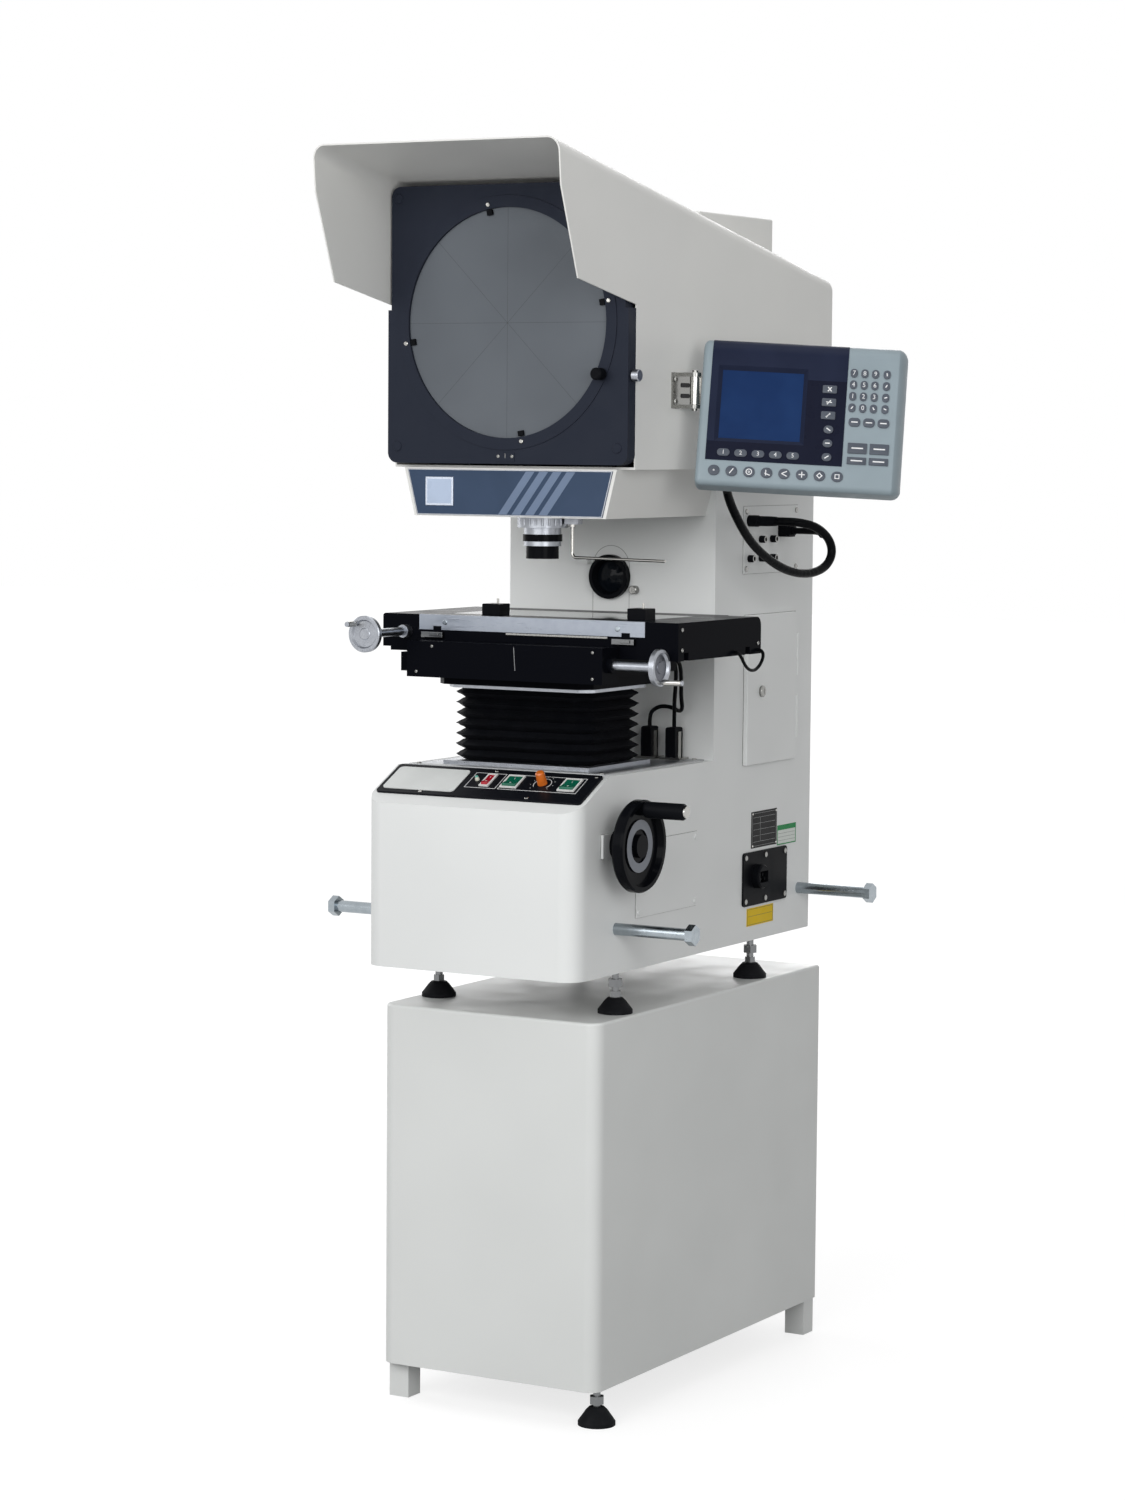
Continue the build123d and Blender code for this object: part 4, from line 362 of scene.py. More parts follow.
# %% Readout lead and its branch
READOUT_LEAD_RADIUS = 0.006
BRANCH_RADIUS = 0.0045
lead_route = [
    (0.24698, -0.14036, 1.23867),
    (0.23962, -0.12467, 1.23380),
    (0.235, -0.106, 1.214),
    (0.236, -0.078, 1.184),
    (0.236, -0.044, 1.158),
    (0.239, -0.010, 1.139),
    (0.244, 0.030, 1.122),
    (0.251, 0.070, 1.113),
    (0.257, 0.107, 1.113),
    (0.261, 0.138, 1.122),
    (0.263, 0.152, 1.140),
    (0.261, 0.144, 1.160),
    (0.254, 0.120, 1.176),
    (0.240, 0.098, 1.182),
    (0.220, 0.093, 1.183),
    (0.205, 0.093, 1.183),
]
cord(
    "readout_lead",
    lead_route,
    READOUT_LEAD_RADIUS,
    0.455,
    ("root", "readout"),
    "readout_cable",
    ((0.245, 0.07, 1.15), (0.24, -0.12, 1.235)),
    far_end="connector",
    stiffness="medium",
    lay="loose",
    with_pieces=["cable_plugs"],
)
branch_route = [
    (0.186, 0.190, 1.168),
    (0.202, 0.190, 1.168),
    (0.220, 0.183, 1.168),
    (0.235, 0.170, 1.167),
    (0.245, 0.154, 1.164),
]
branch_says = {"far_end": "object", "stiffness": "medium", "lay": "loose"}
cord("readout_branch", branch_route, BRANCH_RADIUS, 0.074, ("root",), **branch_says)

# %% Stage cables
STAGE_CABLE_RADIUS = 0.00275
right_route = [
    (0.136, -0.090, 1.000),
    (0.136, -0.074, 1.000),
    (0.135, -0.063, 0.986),
    (0.132, -0.058, 0.964),
    (0.127, -0.052, 0.942),
    (0.119, -0.037, 0.925),
    (0.113, -0.026, 0.912),
    (0.113, -0.026, 0.9035),
]
left_route = [
    (0.143, -0.090, 1.000),
    (0.143, -0.076, 1.000),
    (0.1425, -0.064, 0.989),
    (0.140, -0.057, 0.968),
    (0.136, -0.050, 0.947),
    (0.130, -0.034, 0.930),
    (0.118, -0.020, 0.924),
    (0.103, -0.016, 0.930),
    (0.088, -0.021, 0.931),
    (0.0775, -0.025, 0.924),
    (0.075, -0.026, 0.915),
    (0.075, -0.026, 0.9035),
]
for name, route, length, stands_for in (
    ("stage_cable_right", right_route, 0.1285, "stage_cables"),
    ("stage_cable_left", left_route, 0.181, None),
):
    cord(
        name,
        route,
        STAGE_CABLE_RADIUS,
        length,
        ("root", "lift"),
        stands_for,
        ((0.12, -0.03, 0.905), (0.12, -0.03, 0.992)),
        far_end="connector",
        stiffness="medium",
        lay="hanging",
        with_pieces=["cable_plugs"],
    )

# %% Reader cable loop
READER_CABLE_RADIUS = 0.0022
reader_route = [
    (0.268, -0.150, 1.017),
    (0.273, -0.150, 1.017),
    (0.277, -0.149, 1.012),
    (0.2785, -0.145, 1.005),
    (0.2785, -0.136, 0.997),
    (0.2785, -0.124, 0.992),
    (0.2785, -0.110, 0.9915),
    (0.2785, -0.097, 0.997),
    (0.2785, -0.0885, 1.005),
    (0.277, -0.0835, 1.012),
    (0.273, -0.0825, 1.017),
    (0.268, -0.0825, 1.017),
]
reader_says = {"far_end": "object", "stiffness": "limp", "lay": "hanging"}
cord("reader_lead", reader_route, READER_CABLE_RADIUS, 0.103, ("carriage",), "reader_cable", **reader_says)

# %% [markdown]
# ## Floor, light and background
# A big soft light from the front models the front and leaves the right side darker, as in the
# photograph. Weaker ones on the other sides and the world give the rest. What the camera sees of
# the floor and the world is white, and so is what metal and glass mirror, but that white adds no
# light to the machine.

# %% Floor
FLOOR_SIZE = 40
deselect()
bpy.ops.mesh.primitive_plane_add(size=FLOOR_SIZE, location=(0, 0, 0))
floor = bpy.context.active_object
floor.name = "floor"
floor_paint = surface_of("pale floor", (0.32, 0.32, 0.32), 0.9)
shader_of(floor_paint).inputs["Specular IOR Level"].default_value = 0.1


def seen_directly(tree):
    """1 for what the camera sees directly, in a mirror or through glass, and 0 for light."""
    rays = tree.nodes.new("ShaderNodeLightPath")
    value = rays.outputs["Is Camera Ray"]
    for other in ("Is Glossy Ray", "Is Transmission Ray"):
        either = tree.nodes.new("ShaderNodeMath")
        either.operation = "MAXIMUM"
        tree.links.new(value, either.inputs[0])
        tree.links.new(rays.outputs[other], either.inputs[1])
        value = either.outputs[0]
    return value


# The glow is weak close by, so that the shadow shows, and full towards the horizon
GLOW_NEAR, GLOW_FAR = 0.76, 0.92
GLOW_STARTS, GLOW_FULL = 1.5, 8.0
distance = add_node(floor_paint, "ShaderNodeVectorMath")
distance.operation = "LENGTH"
join(floor_paint, places_on(floor_paint), distance.inputs[0])
level = ramp_between(floor_paint, distance.outputs["Value"], GLOW_STARTS, GLOW_FULL, GLOW_NEAR, GLOW_FAR)
amount = add_node(floor_paint, "ShaderNodeMath")
amount.operation = "MULTIPLY"
glow = add_node(floor_paint, "ShaderNodeEmission", Color=(1, 1, 1, 1))
both = add_node(floor_paint, "ShaderNodeAddShader")
join(floor_paint, seen_directly(floor_paint.node_tree), amount.inputs[0])
join(floor_paint, level, amount.inputs[1])
join(floor_paint, amount.outputs[0], glow.inputs["Strength"])
join(floor_paint, shader_of(floor_paint).outputs[0], both.inputs[0])
join(floor_paint, glow.outputs[0], both.inputs[1])
join(floor_paint, both.outputs[0], floor_paint.node_tree.nodes["Material Output"].inputs[0])
floor.data.materials.append(floor_paint)
print("floor", FLOOR_SIZE, "m wide")

# %% World and lights
WORLD_LIGHT = 0.35
world = bpy.data.worlds.new("studio")
bpy.context.scene.world = world
world.use_nodes = True
air = world.node_tree
background = air.nodes["Background"]
background.inputs["Color"].default_value = (1, 1, 1, 1)
strength = air.nodes.new("ShaderNodeMapRange")
strength.inputs["To Min"].default_value = WORLD_LIGHT
strength.inputs["To Max"].default_value = 1.0
air.links.new(seen_directly(air), strength.inputs["Value"])
air.links.new(strength.outputs["Result"], background.inputs["Strength"])


def soft_light(name, place, watts, size=(2.4, 2.4), aim=(0, 0, 0.9)):
    lamp = bpy.data.lights.new(name, "AREA")
    lamp.shape = "RECTANGLE"
    lamp.size, lamp.size_y = size
    lamp.energy = watts
    holder = bpy.data.objects.new(name, lamp)
    holder.location = place
    holder.rotation_euler = (Vector(aim) - Vector(place)).to_track_quat("-Z", "Y").to_euler()
    bpy.context.scene.collection.objects.link(holder)


soft_light("front", (-0.1, -4.5, 2.4), 116, (4.2, 2.4))
soft_light("front_right", (3.7, -3.2, 2.0), 63)
soft_light("left", (-4.4, 0.6, 2.2), 42)
soft_light("back", (-1.6, 4.6, 2.2), 52)
soft_light("top", (0.2, -0.8, 4.2), 20, (2.2, 2.2), (0, 0, 1.2))
bpy.context.scene.view_settings.view_transform = "Standard"
print("floor, world and five soft lights ready")

# %% [markdown]
# ## Modelling tools
# Each new piece starts as a primitive at its size and place. Its faces or edges are picked by
# where they lie, and edit-mode operators shape them. Pieces on the sloping panel and on the
# turned readout are modelled flat, and then put into place with that part's own frame.

# %% Modelling tools


def slab(size, centre=(0, 0, 0)):
    """A box of that size, with its place already in its mesh."""
    deselect()
    bpy.ops.mesh.primitive_cube_add(size=1, location=centre, scale=size)
    apply_place()
    return bpy.context.active_object


def sheet_plane(size, centre=(0, 0, 0)):
    """A flat rectangle. The plane primitive takes no scale, so it is resized where it lies."""
    deselect()
    bpy.ops.mesh.primitive_plane_add(size=1, location=centre)
    bpy.ops.transform.resize(value=(*size, 1), center_override=centre)
    apply_place()
    return bpy.context.active_object


def disc(radius, corners, centre, turn=0.0):
    """A flat round or many-sided face."""
    deselect()
    bpy.ops.mesh.primitive_circle_add(
        vertices=corners, radius=radius, fill_type="NGON", location=centre, rotation=(0, 0, turn)
    )
    apply_place()
    return bpy.context.active_object


def drum(radius, length, corners, centre):
    deselect()
    bpy.ops.mesh.primitive_cylinder_add(vertices=corners, radius=radius, depth=length, location=centre)
    apply_place()
    return bpy.context.active_object


def anything(*about):
    return True


def pick(piece, kind, test=anything):
    """Opens a piece in edit mode with the faces, edges or corners that pass the test selected."""
    activate(piece)
    bpy.ops.object.mode_set(mode="EDIT")
    bpy.ops.mesh.select_mode(type=kind)
    bpy.ops.mesh.select_all(action="DESELECT")
    mesh = bmesh.from_edit_mesh(piece.data)
    found = 0
    for part in {"FACE": mesh.faces, "EDGE": mesh.edges, "VERT": mesh.verts}[kind]:
        if kind == "FACE":
            chosen = test(part.calc_center_median(), part.normal)
        elif kind == "EDGE":
            a, b = (corner.co for corner in part.verts)
            chosen = test((a + b) / 2, (b - a).normalized())
        else:
            chosen = test(part.co)
        part.select_set(chosen)
        found += chosen
    bmesh.update_edit_mesh(piece.data)
    return found


def done():
    bpy.ops.object.mode_set(mode="OBJECT")


def round_edges(piece, test, width, segments=3):
    if pick(piece, "EDGE", test):
        bpy.ops.mesh.bevel(offset=width, segments=segments, affect="EDGES")
    done()


def round_corners(piece, test, width, segments):
    """Rounds corners of a flat piece."""
    pick(piece, "VERT", test)
    bpy.ops.mesh.bevel(offset=width, segments=segments, affect="VERTICES")
    done()


def is_upright(middle, direction):
    """Edges that run up, or faces that look straight up or down."""
    return abs(direction.z) > 0.99


def shift_corners(piece, test, step):
    pick(piece, "VERT", test)
    bpy.ops.transform.translate(value=step)
    done()


def scale_corners(piece, test, factors, centre):
    pick(piece, "VERT", test)
    bpy.ops.transform.resize(value=factors, center_override=centre)
    done()


def cut_at(piece, place, direction):
    """Cuts all faces along one plane, keeping both sides."""
    pick(piece, "FACE")
    bpy.ops.mesh.bisect(plane_co=place, plane_no=direction)
    done()


def rim_only(piece, line, thick=None):
    """Leaves only the rim of a flat piece, as wide as the line, and gives it its thickness."""
    pick(piece, "FACE")
    bpy.ops.mesh.inset(thickness=line)
    bpy.ops.mesh.delete(type="FACE")
    done()
    if thick:
        finish_with(piece, "SOLIDIFY", thickness=thick, offset=0)


def paint_faces(piece, surface, test):
    """Gives some of a piece's faces a finish of their own."""
    piece.data.materials.append(surface)
    index = len(piece.data.materials) - 1
    count = 0
    for face in piece.data.polygons:
        if test(face.center, face.normal):
            face.material_index = index
            count += 1
    return count


def copies_of(piece, steps):
    """Copies with their own meshes, each moved by a step."""
    made = []
    for step in steps:
        activate(piece)
        bpy.ops.object.duplicate(linked=False)
        bpy.ops.transform.translate(value=step)
        apply_place()
        made.append(bpy.context.active_object)
    return made


def joined(pieces):
    deselect()
    for piece in pieces:
        piece.select_set(True)
    bpy.context.view_layer.objects.active = pieces[0]
    if len(pieces) > 1:
        bpy.ops.object.join()
    return pieces[0]


def put(piece, place):
    """Moves a flat-made piece into another part's frame."""
    piece.matrix_world = place @ piece.matrix_world
    activate(piece)
    apply_place()
    return piece


def fit(pieces, name, body, surface, place=None, angle=None):
    """Joins pieces, puts them into another part's frame, settles them, and smooths them where
    an angle is given."""
    piece = joined(pieces)
    if place:
        put(piece, place)
    settle(piece, name, body, surface)
    if angle:
        smooth(piece, angle)
    return piece


READOUT_PLACE = (0.3446, -0.1153, 1.3273)
READOUT_TURN = math.radians(25.1)
READOUT_LEAN = math.radians(74.3)
READOUT_ROLL = math.radians(-2.8)
readout_frame = (
    Matrix.Translation(READOUT_PLACE)
    @ Matrix.Rotation(READOUT_TURN, 4, "Z")
    @ Matrix.Rotation(READOUT_LEAN, 4, "X")
    @ Matrix.Rotation(READOUT_ROLL, 4, "Z")
)
SLOPE_CENTRE = (0, -0.33625, 0.8365)
SLOPE_ANGLE = math.atan2(0.043, 0.0855)
slope_frame = Matrix.Translation(SLOPE_CENTRE) @ Matrix.Rotation(SLOPE_ANGLE, 4, "X")
front_frame = Matrix.Rotation(math.radians(90), 4, "X")
side_frame = Matrix(((0, 0, 1, 0), (1, 0, 0, 0), (0, 1, 0, 0), (0, 0, 0, 1)))
print("modelling tools ready")

# %% [markdown]
# ## Bellows
# The bellows is black cloth folded into seven sharp pleats, with its corners folded flat. It
# could be a loft of outlines, but pulling one ring upwards again and again, and widening it at
# every second pull, is the way one would do it by hand. On the machine it stretches between base
# and stage; here it is one mesh on no body, sized to the space between them.

# %% Bellows cloth
cloth_drift = (0.02, (0.005, 0.0056, 0.0078), 0.5, 0.8)
bellows_cloth = finish(
    "bellows cloth",
    (0.0033, 0.0037, 0.0052),
    0.66,
    cloth_drift,
    (0.025, 0.6, 0.8),
    (0.0009, 0.00012, 3.0),
    Specular_IOR_Level=0.08,
)

# %% Bellows
PLEATS = 7
FOLD_DEPTH = 0.012
FOLD_CORNER = 0.014
CLOTH_THICK = 0.0014
WRINKLE = 0.0005
cloth_low, cloth_high = (Vector(corner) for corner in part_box("bellows"))
cloth_middle = (cloth_low + cloth_high) / 2
cloth_size = cloth_high - cloth_low
valley_x = cloth_size.x - 2 * FOLD_DEPTH
valley_y = cloth_size.y - 2 * FOLD_DEPTH
half_fold = cloth_size.z / (2 * PLEATS)
bellows = sheet_plane((valley_x, valley_y), (cloth_middle.x, cloth_middle.y, cloth_low.z))
pick(bellows, "VERT")
bpy.ops.mesh.bevel(offset=FOLD_CORNER, segments=1, affect="VERTICES")
bpy.ops.mesh.select_all(action="SELECT")
grow = (cloth_size.x / valley_x, cloth_size.y / valley_y, 1)
shrink = (valley_x / cloth_size.x, valley_y / cloth_size.y, 1)
for fold in range(2 * PLEATS):
    bpy.ops.mesh.extrude_region_move(TRANSFORM_OT_translate={"value": (0, 0, half_fold)})
    level = cloth_low.z + (fold + 1) * half_fold
    change = grow if fold % 2 == 0 else shrink
    bpy.ops.transform.resize(value=change, center_override=(cloth_middle.x, cloth_middle.y, level))
done()
pick(bellows, "FACE", is_upright)
bpy.ops.mesh.delete(type="FACE")
done()
# The outer fold edges have wider corners than the inner ones
CORNER_DRAW = 0.93
NEAR_EDGE = 0.001


def on_ridge(place):
    step = (place.z - cloth_low.z) / half_fold
    return abs(step - round(step)) < 0.01 and round(step) % 2 == 1


def on_ridge_y(place):
    return on_ridge(place) and abs(place.y - cloth_middle.y) > cloth_size.y / 2 - NEAR_EDGE


def on_ridge_x(place):
    return on_ridge(place) and abs(place.x) > cloth_size.x / 2 - NEAR_EDGE


scale_corners(bellows, on_ridge_y, (CORNER_DRAW, 1, 1), cloth_middle)
scale_corners(bellows, on_ridge_x, (1, CORNER_DRAW, 1), cloth_middle)
pick(bellows, "FACE")
bpy.ops.mesh.subdivide(number_cuts=3, smoothness=0)
done()
pick(bellows, "VERT", lambda p: cloth_low.z + 0.002 < p.z < cloth_high.z - 0.002)
bpy.ops.transform.vertex_random(offset=WRINKLE, uniform=1.0, seed=7)
bpy.ops.mesh.select_all(action="SELECT")
bpy.ops.mesh.normals_make_consistent(inside=False)
done()
finish_with(bellows, "SOLIDIFY", thickness=CLOTH_THICK, offset=-1)
settle(bellows, "bellows_cloth", None, bellows_cloth)
smooth(bellows, 25)
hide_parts("bellows")
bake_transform(bellows)
print("bellows with", PLEATS, "pleats,", round(cloth_size.z, 3), "m high")

# %% [markdown]
# ## Readout
# The readout is a moulded shell of light blue-grey plastic. Its front rolls back over the top, a
# slanted band runs down its right side, and a navy panel covers most of the front. The display
# lies in a recess with sloping sides. One body is cut where the panel's edges run, so that panel
# and shell share one surface, and the keys are small domed buttons on top.

# %% Readout finishes


def moulded(name, colour, rough, other=None, depth=0.00003, level=0.5):
    drift = (0.05, other or tuple(0.93 * c for c in colour), 0.4, 0.7)
    gloss = (0.02, rough * 0.85, rough * 1.15)
    return finish(name, colour, rough, drift, gloss, (0.0005, depth), Specular_IOR_Level=level)


shell_grey = moulded("blue-grey shell", (0.268, 0.328, 0.362), 0.42, level=0.25)
panel_navy = moulded("navy panel", (0.0145, 0.0195, 0.043), 0.34, (0.012, 0.0165, 0.037), level=0.06)
panel_dark = moulded("dark panel", (0.0075, 0.0095, 0.023), 0.3, (0.0065, 0.008, 0.020), level=0.06)
display_drift = (0.011, 0.035, 0.115)
display_blue = moulded("blue display", (0.0085, 0.028, 0.098), 0.22, display_drift, 0.000005, 0.06)
key_grey = moulded("grey key", (0.080, 0.092, 0.115), 0.4, level=0.2)
mark_white = moulded("white print", (0.78, 0.79, 0.80), 0.5, depth=0.000005)
print("readout finishes ready")

# %% Readout shell
SHELL = Vector((0.267, 0.200, 0.030))
half = SHELL / 2
TOP_ROLL = 0.021
LOW_ROLL = 0.008
LEFT_ROLL = 0.0074
BAND_START = 0.1225
BAND_STEPS = (0.0045, 0.0083, 0.0110)
BAND_SLANT = 0.2
PANEL_LEFT, PANEL_RIGHT, PANEL_LOW = -0.1215, 0.0565, -0.0665
STEP_LEVEL = 0.0475
WINDOW_MIDDLE = Vector((-0.0535, 0.0105))
WINDOW_SIZE = Vector((0.117, 0.103))
WINDOW_SLOPE = 0.0055
WINDOW_DEPTH = 0.0042
HAIR = 0.0001
window_low = WINDOW_MIDDLE - WINDOW_SIZE / 2
window_high = WINDOW_MIDDLE + WINDOW_SIZE / 2
shell = slab(SHELL, (0, 0, -half.z))
round_edges(shell, lambda m, d: abs(d.x) > 0.99 and m.y > 0 and m.z > -0.001, TOP_ROLL, 9)
round_edges(shell, lambda m, d: abs(d.x) > 0.99 and m.y < 0 and m.z > -0.001, LOW_ROLL, 5)
round_edges(shell, lambda m, d: m.x < -half.x + HAIR, LEFT_ROLL, 6)
band_cuts = [BAND_START, BAND_START + BAND_STEPS[0], BAND_START + BAND_STEPS[1]]
for x in (*band_cuts, PANEL_LEFT, PANEL_RIGHT, window_low.x, window_high.x):
    cut_at(shell, (x, 0, 0), (1, 0, 0))
for y in (PANEL_LOW, STEP_LEVEL, window_low.y, window_high.y):
    cut_at(shell, (0, y, 0), (0, 1, 0))
# The right end is pressed flatter and smaller in steps, so a rounded band falls back from the rim
for reach, tall, deep in zip(BAND_STEPS, (0.988, 0.958, 0.905), (0.84, 0.58, BAND_SLANT)):
    beyond = BAND_START + reach
    scale_corners(shell, lambda p: abs(p.x - beyond) < HAIR, (1, tall, deep), (0, -0.006, -SHELL.z))
round_edges(shell, lambda m, d: abs(m.x - BAND_START) < HAIR and m.z > -SHELL.z + 0.001, 0.0011, 3)
print("shell faces", len(shell.data.polygons))

# %% Readout panel and display


def on_panel(middle):
    inside = PANEL_LEFT < middle.x < PANEL_RIGHT and middle.y > PANEL_LOW
    return inside and middle.z > -TOP_ROLL - 0.001 and middle.y < half.y - 0.0003


def in_window(middle):
    across = abs(middle.x - WINDOW_MIDDLE.x) < WINDOW_SIZE.x / 2
    return across and abs(middle.y - WINDOW_MIDDLE.y) < WINDOW_SIZE.y / 2


def is_print_area(middle):
    return middle.x > window_high.x and middle.y < STEP_LEVEL or middle.y < window_low.y


PANEL_PROUD = 0.0007
GLASS_LEVEL = PANEL_PROUD - WINDOW_DEPTH
pick(shell, "FACE", lambda m, n: on_panel(m) and n.z > 0.05)
bpy.ops.mesh.extrude_region_shrink_fatten(TRANSFORM_OT_shrink_fatten={"value": PANEL_PROUD})
done()
pick(shell, "FACE", lambda m, n: on_panel(m) and n.z > 0.99 and in_window(m) and m.z > 0)
bpy.ops.mesh.inset(thickness=WINDOW_SLOPE, depth=-WINDOW_DEPTH)
done()
shell.data.materials.clear()
shell.data.materials.append(shell_grey)
paint_faces(shell, panel_navy, lambda m, n: on_panel(m) and n.z > -0.2)
paint_faces(shell, panel_dark, lambda m, n: on_panel(m) and n.z > 0.5 and is_print_area(m))
paint_faces(shell, display_blue, lambda m, n: in_window(m) and abs(m.z - GLASS_LEVEL) < HAIR)
fit([shell], "readout_shell", "readout", None, readout_frame, 28)
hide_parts("readout_housing")
print("readout finishes:", [surface.name for surface in shell.data.materials])

# %% Readout keys
KEY_RISE = 0.0014
KEY_DOME = 0.0004
KEY_EDGE = 0.0008


def one_key(width, height, level, round_share):
    """A low domed key: a thin block with rounded corners and a softened top."""
    key = slab((width, height, KEY_RISE), (0, 0, level + KEY_RISE / 2))
    round_edges(key, is_upright, round_share * min(width, height) / 2, 6)
    pick(key, "FACE", lambda m, n: n.z > 0.99)
    bpy.ops.mesh.inset(thickness=KEY_EDGE)
    bpy.ops.transform.translate(value=(0, 0, KEY_DOME))
    done()
    return key


function_places = [(-0.0983 + 0.0226 * i, -0.056) for i in range(5)]
axis_places = [(0.0344, 0.0362 - 0.0176 * i) for i in range(3)]
round_places = [(0.036, -0.018 - 0.0186 * i) for i in range(3)]
tool_places = [(-0.109 + 0.0229 * i, -0.0805) for i in range(8)]
DIGIT_COLUMNS = (0.0646, 0.0785, 0.0925, 0.1075)
digit_places = [(x, 0.060 - 0.0156 * row) for row in range(4) for x in DIGIT_COLUMNS]
menu_places = [(0.0691 + 0.0188 * i, -0.006) for i in range(3)]
enter_places = [(0.075 + 0.0285 * i, -0.041) for i in range(2)]
quit_places = [(0.075 + 0.0285 * i, -0.0578) for i in range(2)]
keys = []
for width, height, level, round_share, places in (
    (0.0165, 0.0098, PANEL_PROUD, 0.98, function_places),
    (0.0185, 0.0105, PANEL_PROUD, 0.3, axis_places),
    (0.0125, 0.0105, PANEL_PROUD, 0.98, round_places),
    (0.0150, 0.0140, 0, 0.98, tool_places),
    (0.0092, 0.0118, 0, 0.98, digit_places),
    (0.0150, 0.0118, 0, 0.8, menu_places),
    (0.0250, 0.0142, 0, 0.15, enter_places),
    (0.0250, 0.0098, 0, 0.15, quit_places),
):
    key = one_key(width, height, level, round_share)
    keys += copies_of(key, [(x, y, 0) for x, y in places])
    bpy.data.objects.remove(key)
print(len(keys), "keys")
readout_keys = fit(keys, "readout_keys", "readout", key_grey, readout_frame, 30)
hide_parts("readout_panel")

# %% Marks on the keys
MARK_RISE = 0.00015
MARK_LEVEL = KEY_RISE + KEY_DOME
HIGH_LEVEL = MARK_LEVEL + PANEL_PROUD


def number(text, place, level, size):
    """A plain number, as thin solid print."""
    deselect()
    bpy.ops.object.text_add(location=(*place, level))
    written = bpy.context.active_object
    written.data.body = text
    written.data.align_x = "CENTER"
    written.data.align_y = "CENTER"
    written.data.size = size
    written.data.extrude = MARK_RISE
    written.data.resolution_u = 2
    bpy.ops.object.convert(target="MESH")
    apply_place()
    return bpy.context.active_object


def bar(place, width, line, level=MARK_LEVEL, turn=0.0):
    turned = Matrix.Translation((*place, level)) @ Matrix.Rotation(turn, 4, "Z")
    return put(slab((width, line, 2 * MARK_RISE)), turned)


def loop_mark(place, radius, line, level=MARK_LEVEL, corners=20, turn=0.0):
    """A round or many-sided outline of print."""
    made = disc(radius, corners, (*place, level), turn)
    rim_only(made, line, 2 * MARK_RISE)
    return made


def beside(place, right, up):
    return place[0] + right, place[1] + up


marks = []
for digit, place in zip("789.456.123..0..", digit_places):
    if digit != ".":
        marks.append(number(digit, place, MARK_LEVEL, 0.0085))
for i, place in enumerate(function_places):
    marks.append(number(str(i + 1), place, HIGH_LEVEL, 0.0078))
for i in (3, 7, 11, 12, 14, 15):
    marks.append(bar(digit_places[i], 0.0040, 0.0014, turn=0.6 * i))
for i, place in enumerate(axis_places):
    for degrees in (50, -50 + 45 * i):
        marks.append(bar(place, 0.0075, 0.0013, HIGH_LEVEL, math.radians(degrees)))
for i, place in enumerate(round_places):
    marks.append(bar(place, 0.0062, 0.0014, HIGH_LEVEL, math.radians(-35 + 35 * i)))
marks += [bar(place, 0.0085, 0.0015) for place in menu_places]
marks += [bar(place, 0.0150, 0.0017) for place in enter_places + quit_places]
dot, slant, ring, angle, wedge, cross, square, diamond = tool_places
for place, width, line, degrees in (
    (slant, 0.0085, 0.0013, 55),
    (beside(angle, -0.001, 0), 0.0075, 0.0012, 90),
    (beside(angle, 0.001, -0.002), 0.0075, 0.0012, -20),
    (beside(wedge, 0, 0.0016), 0.0080, 0.0012, 25),
    (beside(wedge, 0, -0.0016), 0.0080, 0.0012, -25),
    (cross, 0.0080, 0.0013, 0),
    (cross, 0.0080, 0.0013, 90),
):
    marks.append(bar(place, width, line, turn=math.radians(degrees)))
marks.append(loop_mark(dot, 0.0012, 0.0007, corners=10))
marks.append(loop_mark(ring, 0.0042, 0.0011))
marks.append(loop_mark(ring, 0.0015, 0.0007, corners=10))
marks.append(loop_mark(square, 0.0042, 0.0012, corners=4))
marks.append(loop_mark(diamond, 0.0044, 0.0010, corners=4, turn=math.radians(45)))
print("print on", len(marks), "places")
fit(marks, "readout_marks", "readout", mark_white, readout_frame)

# %% Readout gland and back
GLAND_PLACE = (-0.095, -0.085)
GLAND_RADIUS = 0.0085
GLAND_LENGTH = 0.012
gland_end = -SHELL.z - GLAND_LENGTH
gland = drum(GLAND_RADIUS, GLAND_LENGTH, 32, (*GLAND_PLACE, -SHELL.z - GLAND_LENGTH / 2))
pick(gland, "FACE", lambda m, n: n.z < -0.99)
bpy.ops.mesh.inset(thickness=0.0012)
bpy.ops.transform.resize(value=(0.8, 0.8, 1), center_override=(*GLAND_PLACE, gland_end))
done()
fit([gland], "readout_gland", "readout", black_plastic, readout_frame, 40)
BACK_SHEET = 0.0012
SLOT = (0.060, 0.003, BACK_SHEET)
SLOT_PITCH = 0.008
back_plate = slab((0.235, 0.165, BACK_SHEET), (-0.004, 0, -SHELL.z - BACK_SHEET / 3))
round_edges(back_plate, is_upright, 0.008, 4)
fit([back_plate], "readout_back_plate", "readout", shell_grey, readout_frame)
# The vent slots are black slabs on the back plate: painted shade where the openings look dark.
slots = []
for side in (-0.055, 0.045):
    for row in range(7):
        slots.append(slab(SLOT, (side, 0.052 - SLOT_PITCH * row, -SHELL.z - BACK_SHEET)))
vents = joined(slots)
round_edges(vents, is_upright, 0.0014, 3)
fit([vents], "readout_vents", "readout", black_plastic, readout_frame)
print("readout back ready")

